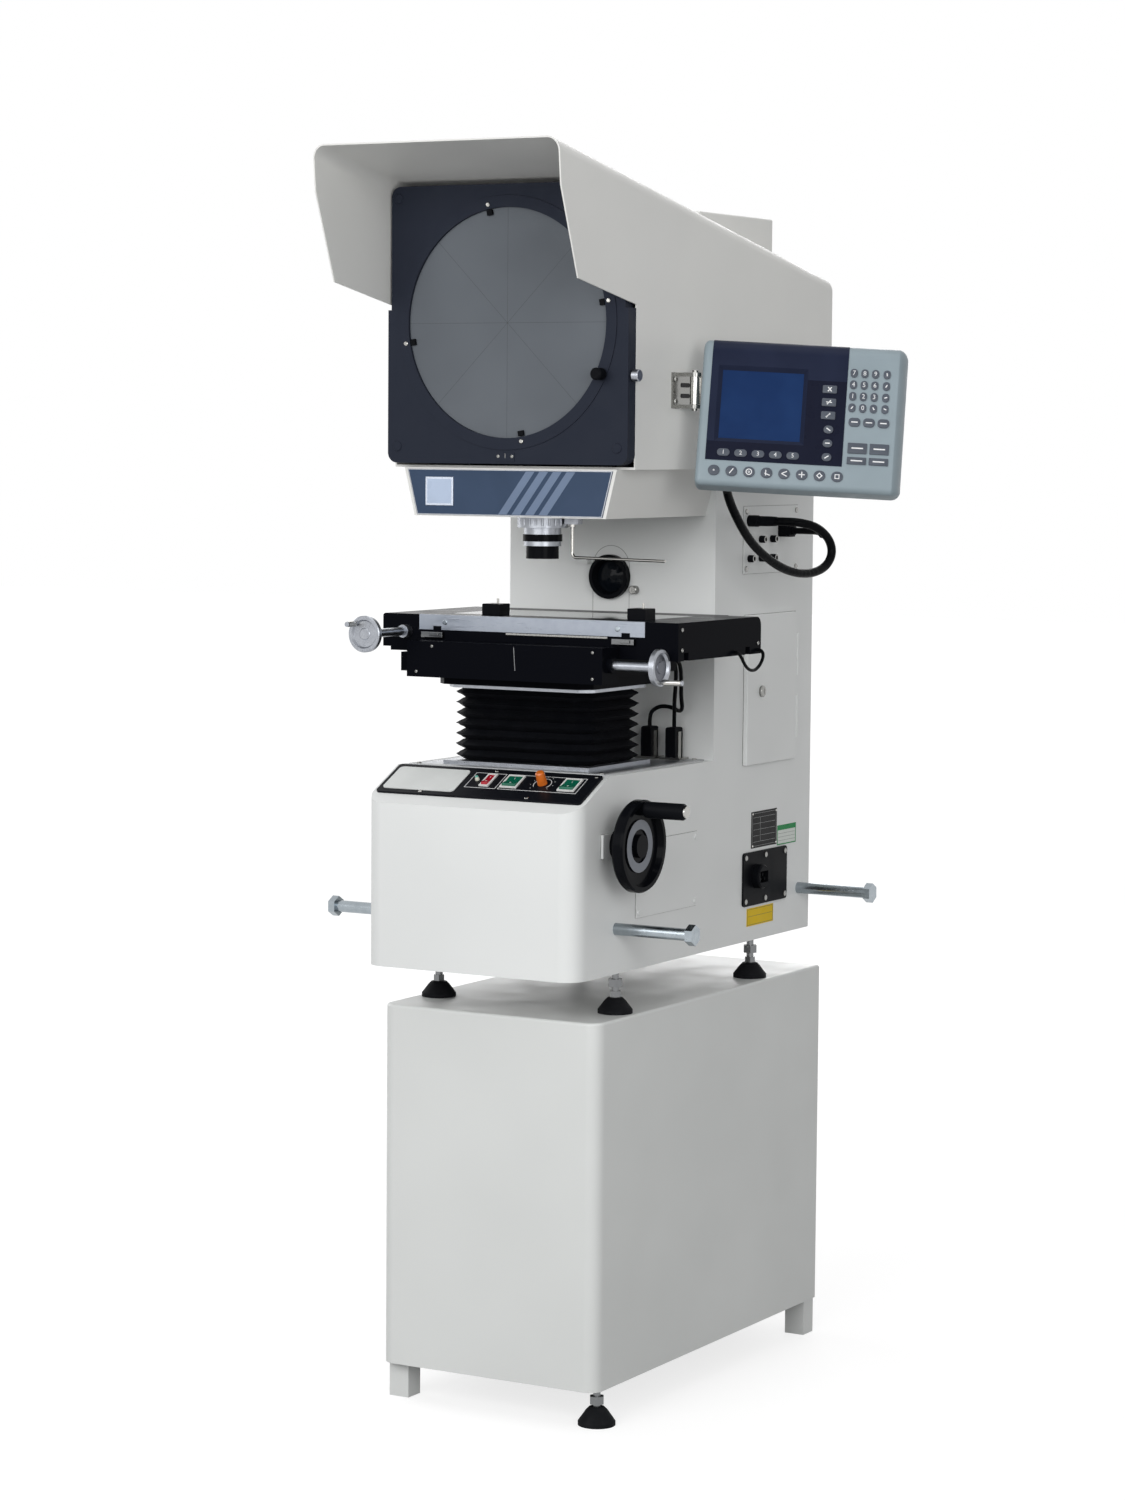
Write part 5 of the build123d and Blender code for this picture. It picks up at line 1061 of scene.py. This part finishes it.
# %% Readout hinge
PIN_PLACE = (0.203, -0.145)
PIN_RADIUS = 0.0041
KNUCKLE_RADIUS = 0.007
HINGE_LOW, HINGE_HIGH = 1.3403, 1.3767
LEAF = (0.0145, 0.0045, HINGE_HIGH - HINGE_LOW)
knuckle = disc(KNUCKLE_RADIUS, 32, (*PIN_PLACE, HINGE_LOW))
rim_only(knuckle, KNUCKLE_RADIUS - PIN_RADIUS)
pick(knuckle, "FACE")
bpy.ops.mesh.extrude_region_move(TRANSFORM_OT_translate={"value": (0, 0, HINGE_HIGH - HINGE_LOW)})
bpy.ops.mesh.select_all(action="SELECT")
bpy.ops.mesh.normals_make_consistent(inside=False)
done()
leaf = slab(LEAF, (*beside(PIN_PLACE, 0.0128, 0.002), (HINGE_LOW + HINGE_HIGH) / 2))
round_edges(leaf, lambda m, d: abs(d.z) < 0.5, 0.0006, 2)
fit([knuckle, leaf], "readout_hinge", "readout", nickel_plate, None, 35)
print("hinge leaf ready")

# %% [markdown]
# ## Screen
# The ground glass carries a cross of hairlines and two diagonals. They could be painted by the
# glass's finish, but thin solid lines stay sharp at any distance and turn with the ring.

# %% Screen lines
LINE_WIDTH = 0.00045
LINE_RAISE = 0.00012
SCREEN_CENTRE = Vector((0, -0.287, 1.4445))
SCREEN_RADIUS = 0.1495
line = slab((2 * SCREEN_RADIUS, LINE_RAISE, LINE_WIDTH), SCREEN_CENTRE)
cut_at(line, SCREEN_CENTRE, (1, 0, 0))
lines = [line]
for degrees, turned_line in zip((45, 90, 135), copies_of(line, [(0, 0, 0)] * 3)):
    turning = Matrix.Rotation(math.radians(degrees), 4, "Y")
    put(turned_line, Matrix.Translation(SCREEN_CENTRE) @ turning @ Matrix.Translation(-SCREEN_CENTRE))
    lines.append(turned_line)
hairline = moulded("hairline", (0.045, 0.05, 0.055), 0.6, depth=0.000002)
fit(lines, "screen_lines", "ring", hairline)
print("four hairlines", 2 * SCREEN_RADIUS, "m long")

# %% [markdown]
# ## Printed plates
# The name plate under the screen is blue with pale slanting bands and a silver edge, and holds a
# plain bright badge. The rating plate and the other labels are left blank, with a plain ruled
# frame. Frames and bands are thin raised pieces, as thick print and pressed metal are.

# %% Tools for flat marks
PRINT = 0.0003


def ink(name, colour, rough=0.5, level=0.5):
    """Print, which is smoother than moulded plastic."""
    return moulded(name, colour, rough, depth=0.000003, level=level)


def outline_frame(size, centre, line, corner=0.0):
    """A flat rectangular outline of that line width."""
    made = sheet_plane(size, centre)
    if corner:
        round_corners(made, anything, corner, 4)
    rim_only(made, line, PRINT)
    return made


def rivet_head(place, radius, height):
    """A low round head: a short cylinder whose top edge is bevelled."""
    x, y, foot = place
    made = drum(radius, height, 16, (x, y, foot + height / 2))
    round_edges(made, lambda m, d: m.z > foot + height - 0.00001, 0.45 * height)
    return made


print("tools for flat marks ready")

# %% Name plate bands, edge and badge
PLATE_CENTRE = (0, -0.2817, 1.22275)
PLATE_HEIGHT = 0.0605
PLATE_TOP_WIDTH, PLATE_LOW_WIDTH = 0.3125, 0.2820
EDGE_LINE = 0.0013
BAND_WIDTH = 0.013
BAND_PITCH = 0.0205
BAND_LEAN = 0.042
BAND_COUNT = 4
FIRST_BAND = 0.012
plate_place = Matrix.Translation(PLATE_CENTRE) @ front_frame
plate_edge = sheet_plane((PLATE_TOP_WIDTH, PLATE_HEIGHT))
narrower = (PLATE_LOW_WIDTH / PLATE_TOP_WIDTH, 1, 1)
scale_corners(plate_edge, lambda p: p.y < 0, narrower, (0, 0, 0))
rim_only(plate_edge, EDGE_LINE, 2 * PRINT)
fit([plate_edge], "name_plate_edge", "root", satin_silver, plate_place)
bands = []
for i in range(BAND_COUNT):
    band_size = (BAND_WIDTH, PLATE_HEIGHT - 3 * EDGE_LINE, PRINT)
    band = slab(band_size, (FIRST_BAND + BAND_PITCH * i, 0, 0))
    shift_corners(band, lambda p: p.y > 0, (BAND_LEAN / 2, 0, 0))
    shift_corners(band, lambda p: p.y < 0, (-BAND_LEAN / 2, 0, 0))
    bands.append(band)
band_blue = ink("pale blue print", (0.125, 0.180, 0.285), 0.35)
fit(bands, "name_plate_bands", "root", band_blue, plate_place)
BADGE = Vector((0.043, 0.038, 0.0016))
BADGE_PLACE = (-0.106, 0.001)
BADGE_RIM = 0.003
badge = slab(BADGE, (*BADGE_PLACE, BADGE.z / 2))
round_edges(badge, lambda m, d: m.z > BADGE.z - 0.0001, 0.0005, 2)
badge_silver = metal("badge silver", (0.50, 0.54, 0.62), 0.3)
fit([badge], "name_plate_badge", "root", badge_silver, plate_place)
badge_field = ink("badge field", (0.46, 0.55, 0.71), 0.3)
field = slab((BADGE.x - 2 * BADGE_RIM, BADGE.y - 2 * BADGE_RIM, 2 * PRINT), (*BADGE_PLACE, BADGE.z))
fit([field], "name_plate_badge_field", "root", badge_field, plate_place)
print("name plate dressed")

# %% Blank labels on the right side
SIDE_FACE = 0.1625
RULE = 0.0004


def side_place(y, z):
    return Matrix.Translation((SIDE_FACE, y, z)) @ side_frame


def rules_of(width, *heights):
    """Level lines across a label."""
    return [slab((width, RULE, PRINT), (0, up, 0)) for up in heights]


TALL = Vector((0.0785, 0.051))
UPPER = Vector((0.0585, 0.028))
LOWER = Vector((0.081, 0.025))
GREEN_TOP = 0.0072
tall_place = side_place(0.15175, 0.752)
upper_place = side_place(0.22175, 0.738)
lower_place = side_place(0.142, 0.6305)
rule_pale = ink("pale print", (0.33, 0.34, 0.34))
rule_grey = ink("grey print", (0.18, 0.21, 0.20))
rule_brown = ink("dark print", (0.06, 0.05, 0.02))
label_green = ink("green print", (0.012, 0.25, 0.07), 0.4, 0.1)
tall_rules = [outline_frame((TALL.x - 0.005, TALL.y - 0.005), (0, 0, 0), RULE)]
tall_rules += rules_of(TALL.x - 0.012, 0.017, 0.0085, 0, -0.0085, -0.017)
tall_rules.append(slab((RULE, 0.034, PRINT), (-0.012, 0, 0)))
fit(tall_rules, "rating_plate_rules", "root", rule_pale, tall_place)
rivets = [rivet_head((x, y, 0), 0.0017, 0.0009) for x in (-0.036, 0.036) for y in (-0.0225, 0.0225)]
fit(rivets, "rating_plate_rivets", "root", nickel_plate, tall_place, 40)
green_rim = outline_frame(UPPER, (0, 0, 0), 0.0016)
green_top = slab((UPPER.x, GREEN_TOP, PRINT), (0, (UPPER.y - GREEN_TOP) / 2, 0.00005))
fit([green_rim, green_top], "check_label_rim", "root", label_green, upper_place)
check_rules = rules_of(UPPER.x - 0.006, 0.002, -0.003, -0.008)
fit(check_rules, "check_label_rules", "root", rule_grey, upper_place)
lower_rules = [outline_frame((LOWER.x - 0.003, LOWER.y - 0.003), (0, 0, 0), 0.0005)]
lower_rules += rules_of(LOWER.x - 0.008, 0.001)
fit(lower_rules, "lower_label_rules", "root", rule_brown, lower_place)
print("labels ruled")

# %% [markdown]
# ## Seams of the covers
# A fine dark line of painted shade runs round every cover on the column and round the slot on
# its front, where the shadow in the gap would fall. Without it a white cover on a white wall is
# hard to see in soft light.

# %% Seams
SEAM = 0.0007
SEAM_OUT = 0.0009
SEAM_CORNER = 0.0015
# The grey of these lines is painted shade for the gaps round the covers and the slot.
shadow_gap_grey = ink("painted shadow grey", (0.20, 0.205, 0.195), 0.7)
covers = {
    "focus cover": (-0.2205, -0.0495, 0.665, 0.766),
    "flange plate": (-0.315, -0.241, 0.753, 0.784),
    "column door": (0.0835, 0.242, 0.845, 1.053),
    "socket panel": (0.0775, 0.2445, 1.110, 1.203),
}
SLOT_HALF, SLOT_LOW, SLOT_TOP, SLOT_FRONT = 0.0289, 1.000, 1.1481, -0.0035
seams = []
for low_y, high_y, low_z, high_z in covers.values():
    size = (high_y - low_y + SEAM_OUT, high_z - low_z + SEAM_OUT)
    seam = outline_frame(size, (0, 0, 0), SEAM, SEAM_CORNER)
    seams.append(put(seam, side_place((low_y + high_y) / 2, (low_z + high_z) / 2)))
slot = sheet_plane((2 * SLOT_HALF, SLOT_TOP - SLOT_LOW))
round_corners(slot, lambda p: p.y > 0, 0.995 * SLOT_HALF, 12)
rim_only(slot, 0.0006, PRINT)
slot_middle = (0, SLOT_FRONT, (SLOT_TOP + SLOT_LOW) / 2)
seams.append(put(slot, Matrix.Translation(slot_middle) @ front_frame))
print(len(seams), "seams")
fit(seams, "cover_seams", "root", shadow_gap_grey)

# %% [markdown]
# ## Control panel print
# Two thin outlines group the switches, an arc with ticks runs round the dimmer and the rockers
# carry a dash and a ring. The outlines lie on the sloping panel and the rockers' marks on the
# rockers, each in its own frame, so that they tilt with them.

# %% Control panel print
PANEL_TOP_LEVEL = 0.003
PANEL_LINE = 0.0008
KNOB_PLACE = Vector((0.079, 0.0165))
ARC_RADIUS = 0.0128
ARC_LINE = 0.0009
ARC_GAP = math.radians(48)
TICK_RADIUS = 0.0168
TICK_STEPS = 8
BOX_LOW, BOX_HIGH = -0.0025, 0.0345
prints = []
for left, right in ((-0.0305, 0.0165), (0.020, 0.138)):
    centre = ((left + right) / 2, (BOX_LOW + BOX_HIGH) / 2, PANEL_TOP_LEVEL)
    prints.append(outline_frame((right - left, BOX_HIGH - BOX_LOW), centre, PANEL_LINE))
arc = disc(ARC_RADIUS, 64, (*KNOB_PLACE, PANEL_TOP_LEVEL))
rim_only(arc, ARC_LINE)


def below_knob(middle, normal):
    across = middle.xy - KNOB_PLACE
    return abs(math.atan2(across.x, -across.y)) < ARC_GAP


pick(arc, "FACE", below_knob)
bpy.ops.mesh.delete(type="FACE")
done()
finish_with(arc, "SOLIDIFY", thickness=PRINT, offset=0)
prints.append(arc)
for step in range(TICK_STEPS + 1):
    angle = ARC_GAP + step * (2 * math.pi - 2 * ARC_GAP) / TICK_STEPS
    tick = KNOB_PLACE + TICK_RADIUS * Vector((math.sin(angle), -math.cos(angle)))
    prints.append(rivet_head((*tick, PANEL_TOP_LEVEL - PRINT / 2), 0.0006, PRINT))
fit(prints, "panel_print", "root", mark_white, slope_frame)
print("panel print ready")

# %% Rocker marks
ROCKER_SWING = math.radians(16)
ROCKER_HALF = 0.0124
ROCKER_UP = 0.0165
PIN_LEVEL = 0.001
FACE_TILT = math.atan2(0.0018, ROCKER_HALF)
FACE_LEVEL = 0.0043
for name, body, x, dash_length in (
    ("main_rocker_marks", "main_switch", -0.003, 0.0028),
    ("contour_rocker_marks", "contour_switch", 0.034, 0.0032),
    ("surface_rocker_marks", "surface_switch", 0.1205, 0.0032),
):
    pin = slope_frame @ Matrix.Translation((x, ROCKER_UP, PIN_LEVEL))
    hub = pin @ Matrix.Rotation(-ROCKER_SWING / 2, 4, "X")
    dash = slab((0.0006, dash_length, PRINT))
    circle = loop_mark((0, 0), 0.0014, 0.0005, 0)
    for mark, side in ((dash, 1), (circle, -1)):
        face = Matrix.Translation((0, side * ROCKER_HALF / 2, FACE_LEVEL))
        put(mark, hub @ face @ Matrix.Rotation(side * FACE_TILT, 4, "X"))
    fit([dash, circle], name, body, mark_white)
print("rockers marked")

# %% [markdown]
# ## Small parts of the stage
# Two stop blocks with sprung clips hang under the ends of the silver bar, a ground rail shows in
# the gap, a bright index line runs down the screw box, and small screws hold the covers.

# %% Stop blocks and rail
BAR_FRONT = -0.3055
CLIP = Vector((0.033, 0.0065, 0.0075))
STOP_LEVEL = 1.0345
stops = []
for x in (-0.0995, 0.1895):
    block = slab(CLIP, (x, BAR_FRONT - CLIP.y / 2 + 0.0005, STOP_LEVEL))
    round_edges(block, anything, 0.0006, 2)
    tongue_size = (CLIP.x * 0.42, 0.0022, CLIP.z * 0.55)
    tongue = slab(tongue_size, (x + 0.004, BAR_FRONT - CLIP.y - 0.0004, STOP_LEVEL + 0.0008))
    round_edges(tongue, anything, 0.0004, 2)
    stops += [block, tongue]
fit(stops, "table_stops", "carriage", dark_zinc)
rail = slab((0.152, 0.0015, 0.0028), (0.0885, -0.30625, 1.0389))
round_edges(rail, lambda m, d: abs(d.x) > 0.9, 0.0004, 2)
fit([rail], "ground_rail", "carriage", ground_steel)
print("two stop blocks and a rail")

# %% Index line and small screws
BOX_FRONT = -0.3505
CASING_FRONT = -0.2908
LINE_LEAN = 0.0022
HEAD_RIM, HOLE_SLOPE, HOLE_SHARE = 0.12, 0.1, 0.5
index_line = slab((0.0012, 0.0008, 0.0300), (0.0505, BOX_FRONT - 0.0002, 1.0095))
shift_corners(index_line, lambda p: p.z < 1.0, (LINE_LEAN, 0, 0))
round_edges(index_line, lambda m, d: abs(d.z) > 0.9 and m.y < BOX_FRONT - 0.0004, 0.0003, 2)
fit([index_line], "index_line", "lift", dark_zinc)


def screw_heads(name, body, places, frame_of_face, radius=0.0026, height=0.0013):
    """Button heads with a driver's hole, on one face."""
    heads = []
    for place in places:
        head = rivet_head((0, 0, 0), radius, height)
        pick(head, "FACE", lambda m, n: n.z > 0.99)
        bpy.ops.mesh.inset(thickness=radius * HEAD_RIM)
        bpy.ops.mesh.inset(thickness=radius * HOLE_SLOPE, depth=-height * HOLE_SHARE)
        done()
        heads.append(put(head, Matrix.Translation(place) @ frame_of_face))
    fit(heads, name, body, shaded_nickel, None, 35)


CARRIAGE_END = 0.268
end_places = [(CARRIAGE_END, y, z) for y, z in ((-0.296, 1.026), (-0.083, 1.026), (-0.296, 1.052))]
box_corners = ((-0.074, 1.022), (0.168, 1.022), (0.168, 0.988), (-0.098, 0.988))
box_places = [(x, BOX_FRONT, z) for x, z in box_corners]
index_places = [(x, CASING_FRONT, 1.2705) for x in (-0.0105, 0.0105)]
screw_heads("carriage_end_screws", "carriage", end_places, side_frame)
screw_heads("screw_box_screws", "lift", box_places, front_frame, 0.0020)
screw_heads("index_screws", "root", index_places, front_frame, 0.0022, 0.0009)
ring_index = slab((0.0007, 0.0062, 0.0003))
ring_place = Matrix.Translation((0, CASING_FRONT, 1.2712)) @ front_frame
fit([ring_index], "ring_index", "root", shaded_nickel, ring_place)
# The bracket's slots are flat black marks: painted shade where the slots look dark.
slots = []
for z in (1.3515, 1.3655):
    slot_mark = slab((0.024, 0.0058, 0.0006))
    round_edges(slot_mark, is_upright, 0.0027, 5)
    slots.append(put(slot_mark, Matrix.Translation((0.1858, -0.140, z)) @ side_frame))
fit(slots, "bracket_slots", "root", black_panel)
print("small screws and bracket slots ready")

# %% [markdown]
# ## Dressing the solid pieces
# A solid piece keeps its mesh and gets a finish. Its triangles are loose, so a Weld joins them
# for the eye, and an Edge Split keeps flat faces flat while round ones turn smooth. A few thin
# covers also get a small Bevel, which catches the light at their edges, and weighted normals, so
# that their flat faces stay flat beside it. Where a piece is made of several materials, its
# faces are chosen by place.

# %% Dress tools
JOINED = 0.00001
ROUND_BELOW = math.radians(32)
SHARP_ABOVE = math.radians(40)


def soften(node, bevel=0.0):
    """Smooth round faces and, where asked, lightly rounded edges on a solid piece."""
    piece = nodes[node]
    piece.data.polygons.foreach_set("use_smooth", [True] * len(piece.data.polygons))
    weld = piece.modifiers.new("weld", "WELD")
    weld.merge_threshold = JOINED
    if bevel:
        rounding = piece.modifiers.new("bevel", "BEVEL")
        rounding.width = bevel
        rounding.segments = 2
        rounding.limit_method = "ANGLE"
        rounding.angle_limit = SHARP_ABOVE
    split = piece.modifiers.new("split", "EDGE_SPLIT")
    split.split_angle = ROUND_BELOW
    if bevel:
        # Without this the wide flat faces would take up the slant of their narrow bevels
        flat = piece.modifiers.new("flat", "WEIGHTED_NORMAL")
        flat.mode = "FACE_AREA"
        flat.weight = 80


def dress(surface, *names, bevel=0.0):
    for name in names:
        nodes[name].data.materials.clear()
        nodes[name].data.materials.append(surface)
        soften(name, bevel)


def dress_where(node, surface, test):
    """Faces of a solid piece whose middle and normal pass a test get a finish of their own."""
    print(node, paint_faces(nodes[node], surface, test), "faces in", surface.name)


def dress_part(node, surface, low, high, place=None):
    """The same for a box, which may lie in another frame."""
    inward = place.inverted() if place else Matrix()

    def within(middle, normal):
        return all(a <= c <= b for a, c, b in zip(low, inward @ middle, high))

    dress_where(node, surface, within)


# %% Painted housings
dress(body_paint, "base_housing")
dress(body_paint, "connector_panel", "access_covers", "column_door", bevel=0.0006)
dress(head_paint, "head_casing", "mirror_box_cover", "chin_housing")
dress(stand_paint, "stand_cabinet", "stand_frame", "stand_rear_panel")
print("housings painted")

# %% Dark pieces
dress(navy_paint, "screen_frame", "screen_ring")
dress(gloss_black, "surface_lamp", "z_handwheel")
dress(black_enamel, "stage_base", "x_carriage", "y_table")
dress(black_panel, "control_panel")
dress(black_rubber, "foot_cups")
dress(black_plastic, "power_inlet", "cable_plugs", "ring_fittings")
dress(black_plastic, "z_wheel_grip", "fan_rotor", "stage_clamps")
dress(lamp_black, "lamp_house")
print("dark pieces ready")

# %% Metal pieces
dress(satin_silver, "lens_mount", "projection_lens", "ring_lock_knob", "x_handwheel", "y_handwheel")
dress(ground_steel, "base_plate", "lift_guide", "lift_column", "lift_screw", "power_supply")
dress(zinc_plate, "lifting_bolts")
dress(dark_zinc, "foot_studs")
dress(nickel_plate, "swing_rod", "x_wheel_grip", "y_wheel_grip")
# The bracket, the latch and the lock knob take the nickel with painted shade.
dress(shaded_nickel, "readout_bracket", "door_latch", "lamp_lock_knob")
print("metal pieces ready")

# %% [markdown]
# ## Glass, mirrors and glowing plastic
# Ground glass scatters nearly all light, so it is a dull grey with a soft sheen. The stage glass
# is clear with a greenish tint. The rockers and the dimmer are coloured plastic under a clear
# coat, and a painted glow, light that they do not give, keeps them bright; the pilot lamp is a lamp.

# %% Glass and mirrors
screen_drift = (0.16, (0.106, 0.118, 0.134), 0.35, 0.7)
screen_grey = finish(
    "ground glass",
    (0.128, 0.142, 0.160),
    0.42,
    screen_drift,
    (0.02, 0.38, 0.46),
    (0.0004, 0.00002),
    Specular_IOR_Level=0.12,
)
glass_tint = (0.80, 0.93, 0.88)
stage_clear = finish(
    "stage glass",
    glass_tint,
    0.02,
    (0.05, tuple(0.94 * c for c in glass_tint)),
    (0.03, 0.02, 0.04),
    None,
    Transmission_Weight=1.0,
    IOR=1.46,
)
silver_drift = (0.08, (0.82, 0.85, 0.86))
mirror_silver = finish("mirror", (0.86, 0.88, 0.88), 0.03, silver_drift, (0.05, 0.02, 0.05), None, 1.0)
lamp_glass = dark_coat("lamp glass", (0.004, 0.0055, 0.008), 0.1, 0.02, 0.000005, 0.06)
dress(screen_grey, "screen_glass")
dress(stage_clear, "stage_glass")
dress(mirror_silver, "mirrors")
MIRROR_HALF = 0.0798
MIRROR_BACK, MIRROR_TOP, MIRROR_SLANT = 0.2475, 1.445, 0.18


def on_mirror_holder(middle, normal):
    back = MIRROR_BACK + MIRROR_SLANT * (MIRROR_TOP - middle.z)
    return abs(middle.x) > MIRROR_HALF or middle.y > back


dress_where("mirrors", lamp_black, on_mirror_holder)
print("glass ready")

# %% Coloured plastic


# Emission is painted light on the rockers and the dimmer knob, which are no lamps; only the pilot lamp
# really glows.
def glowing_plastic(name, colour, glow, rough=0.22):
    drift = (0.006, tuple(0.8 * c for c in colour), 0.4, 0.7)
    gloss = (0.01, rough * 0.8, rough * 1.2)
    coat = {"Coat_Weight": 0.15, "Coat_Roughness": 0.08}
    light = {"Emission_Color": (*colour, 1), "Emission_Strength": glow}
    return finish(name, colour, rough, drift, gloss, None, **coat, **light)


rocker_red = glowing_plastic("red rocker", (0.36, 0.004, 0.016), 0.12)
rocker_green = glowing_plastic("green rocker", (0.003, 0.115, 0.066), 0.08)
knob_orange = glowing_plastic("orange knob", (0.58, 0.13, 0.012), 0.12)
pilot_glass = glowing_plastic("pilot lamp", (0.62, 0.60, 0.52), 0.1)
pilot_tip = glowing_plastic("pilot lamp tip", (0.12, 0.42, 0.33), 0.15)
bezel_white = moulded("white bezel", (0.80, 0.80, 0.79), 0.35)
dress(rocker_red, "main_rocker")
dress(rocker_green, "contour_lamp_rocker", "surface_lamp_rocker")
dress(knob_orange, "dimmer_knob")
dress(bezel_white, "panel_fittings")
for surface, low, high in (
    (nickel_plate, (-0.2, 0.0325, -0.02), (0.2, 0.06, 0.02)),
    (nickel_plate, (-0.2, -0.03, -0.02), (0.2, -0.005, 0.02)),
    (black_plastic, (0.068, 0.0, -0.03), (0.090, 0.03, 0.02)),
    (pilot_glass, (-0.024, 0.01, -0.02), (-0.016, 0.024, 0.02)),
    (pilot_tip, (-0.024, 0.01, 0.0078), (-0.016, 0.024, 0.02)),
):
    dress_part("panel_fittings", surface, low, high, slope_frame)
print("panel fittings ready")

# %% Plates and labels
plate_grey = metal("grey top plate", (0.44, 0.45, 0.46), 0.42, 0.0012, cloud=(0.40, 0.41, 0.42))
shader_of(plate_grey).inputs["Metallic"].default_value = 0.35
plate_cream = moulded("cream plate", (0.69, 0.71, 0.70), 0.45)
label_white = moulded("label white", (0.72, 0.76, 0.72), 0.4, level=0.15)
label_yellow = moulded("label yellow", (0.80, 0.55, 0.012), 0.4, level=0.08)
label_black = moulded("label black", (0.011, 0.011, 0.012), 0.35, level=0.06)
blue_drift = (0.035, 0.059, 0.108)
name_blue = moulded("name plate blue", (0.040, 0.066, 0.120), 0.35, blue_drift, level=0.15)
dress(plate_grey, "base_top_plates")
dress_part("base_top_plates", satin_silver, (-0.113, -0.261, 0.8594), (0.113, -0.09, 0.87))
SCREW_OUT, SCREW_ROWS, SCREW_HALF, SCREW_FOOT = 0.136, (-0.2755, -0.0175), 0.0037, 0.8596


def on_plate_screw(middle, normal):
    out = min(abs(middle.y - row) for row in SCREW_ROWS)
    return abs(middle.x) > SCREW_OUT and out < SCREW_HALF and middle.z > SCREW_FOOT


dress_where("base_top_plates", nickel_plate, on_plate_screw)
dress(label_black, "label_plates")
dress_part("label_plates", label_white, (0.16, 0.192, 0.72), (0.17, 0.26, 0.76))
dress_part("label_plates", label_yellow, (0.16, 0.10, 0.60), (0.17, 0.19, 0.65))
dress_part("label_plates", plate_cream, (-0.16, -0.36, 0.82), (-0.03, -0.30, 0.87))
dress_part("label_plates", name_blue, (-0.17, -0.29, 1.18), (0.17, -0.27, 1.26))
print("plates and labels ready")

# %% Two tones on stage, lens and lamp
dress_part("stage_base", satin_silver, (-0.113, -0.261, 0.9615), (0.113, -0.09, 0.9672))
dress_part("y_table", brushed_bar, (-0.13, -0.31, 1.03), (0.23, -0.3002, 1.07))
dress_where("y_table", zinc_plate, lambda m, n: m.y < -0.3056)
dress_where("stage_clamps", nickel_plate, lambda m, n: m.z > 1.0751)
dress_part("x_carriage", satin_silver, (-0.152, -0.33, 1.00), (-0.130, -0.3056, 1.06))
BAND_LOW, BAND_HIGH, LENS_END = 1.1583, 1.1672, 1.1517
dress_where("projection_lens", gloss_black, lambda m, n: BAND_LOW < m.z < BAND_HIGH or m.z < LENS_END)
LAMP_LEVEL, LAMP_GLASS_RADIUS = 1.105, 0.0211


def on_lamp_glass(middle, normal):
    out = math.hypot(middle.x, middle.z - LAMP_LEVEL)
    return -0.0079 < middle.y < -0.0007 and out < LAMP_GLASS_RADIUS


dress_where("surface_lamp", lamp_glass, on_lamp_glass)

# %% Two tones on the handwheels, and painted shade in the X wheel's recess
Z_WHEEL = (-0.2785, 0.7685)
X_WHEEL = (-0.3305, 1.005)
RING_INNER, RING_OUTER = 0.0222, 0.0345
X_DISC_RADIUS = 0.0172
annulus_grey = moulded("grey ring of the wheel", (0.20, 0.215, 0.245), 0.35, level=0.2)
# The X wheel's recessed disc takes a much darker silver: painted shade and reflection in the recess.
recess_shade_silver = metal("silver with painted shade", (0.10, 0.106, 0.123), 0.3, 0.0004)


def out_from(axis, middle):
    """How far a face lies from a wheel's axis, which runs across."""
    return math.hypot(middle.y - axis[0], middle.z - axis[1])


def on_grey_ring(middle, normal):
    flat = 0.1985 < middle.x < 0.2005 and normal.x > 0.9
    return flat and RING_INNER <= out_from(Z_WHEEL, middle) <= RING_OUTER


def on_x_disc(middle, normal):
    return 0.2545 < middle.x < 0.2562 and out_from(X_WHEEL, middle) < X_DISC_RADIUS


dress_where("z_handwheel", annulus_grey, on_grey_ring)
dress_where("z_handwheel", nickel_plate, lambda m, n: m.x > 0.2664)
dress_where("z_handwheel", ground_steel, lambda m, n: m.x < 0.1662)
dress_where("x_handwheel", recess_shade_silver, on_x_disc)

# %% Two tones on sockets, plugs and clips
INLET_Y, INLET_Z = (0.105, 0.148), (0.665, 0.708)
CLIP_SCREWS = ((0.1536, 1.4719), (-0.0282, 1.5979), (-0.1538, 1.4182), (0.0247, 1.2905))
CLIP_SCREW_RADIUS = 0.0033
PLUG_PLACES = (0.075, 0.113)
PLUG_HALF = 0.0075
FOOT_TOP, PLUG_TOP = 0.8635, 0.905


def on_power_screw(middle, normal):
    inlet = INLET_Y[0] < middle.y < INLET_Y[1] and INLET_Z[0] < middle.z < INLET_Z[1]
    return middle.x > 0.16455 and not inlet


def on_clip_screw(middle, normal):
    return any(math.hypot(middle.x - x, middle.z - z) < CLIP_SCREW_RADIUS for x, z in CLIP_SCREWS)


def on_latch(middle, normal):
    """The foot of a stage plug and the sprung strips on its two sides."""
    out = min(abs(middle.x - x) for x in PLUG_PLACES)
    return middle.z < FOOT_TOP or middle.z < PLUG_TOP and out > PLUG_HALF + 0.0001


dress_where("power_inlet", shaded_nickel, on_power_screw)
dress_where("connector_panel", shaded_nickel, lambda m, n: m.x > 0.16355)
dress_where("connector_panel", black_plastic, lambda m, n: 0.1662 < m.x < 0.1712)
dress_where("ring_fittings", nickel_plate, on_clip_screw)
dress_where("cable_plugs", nickel_plate, on_latch)
print("two-tone parts ready")
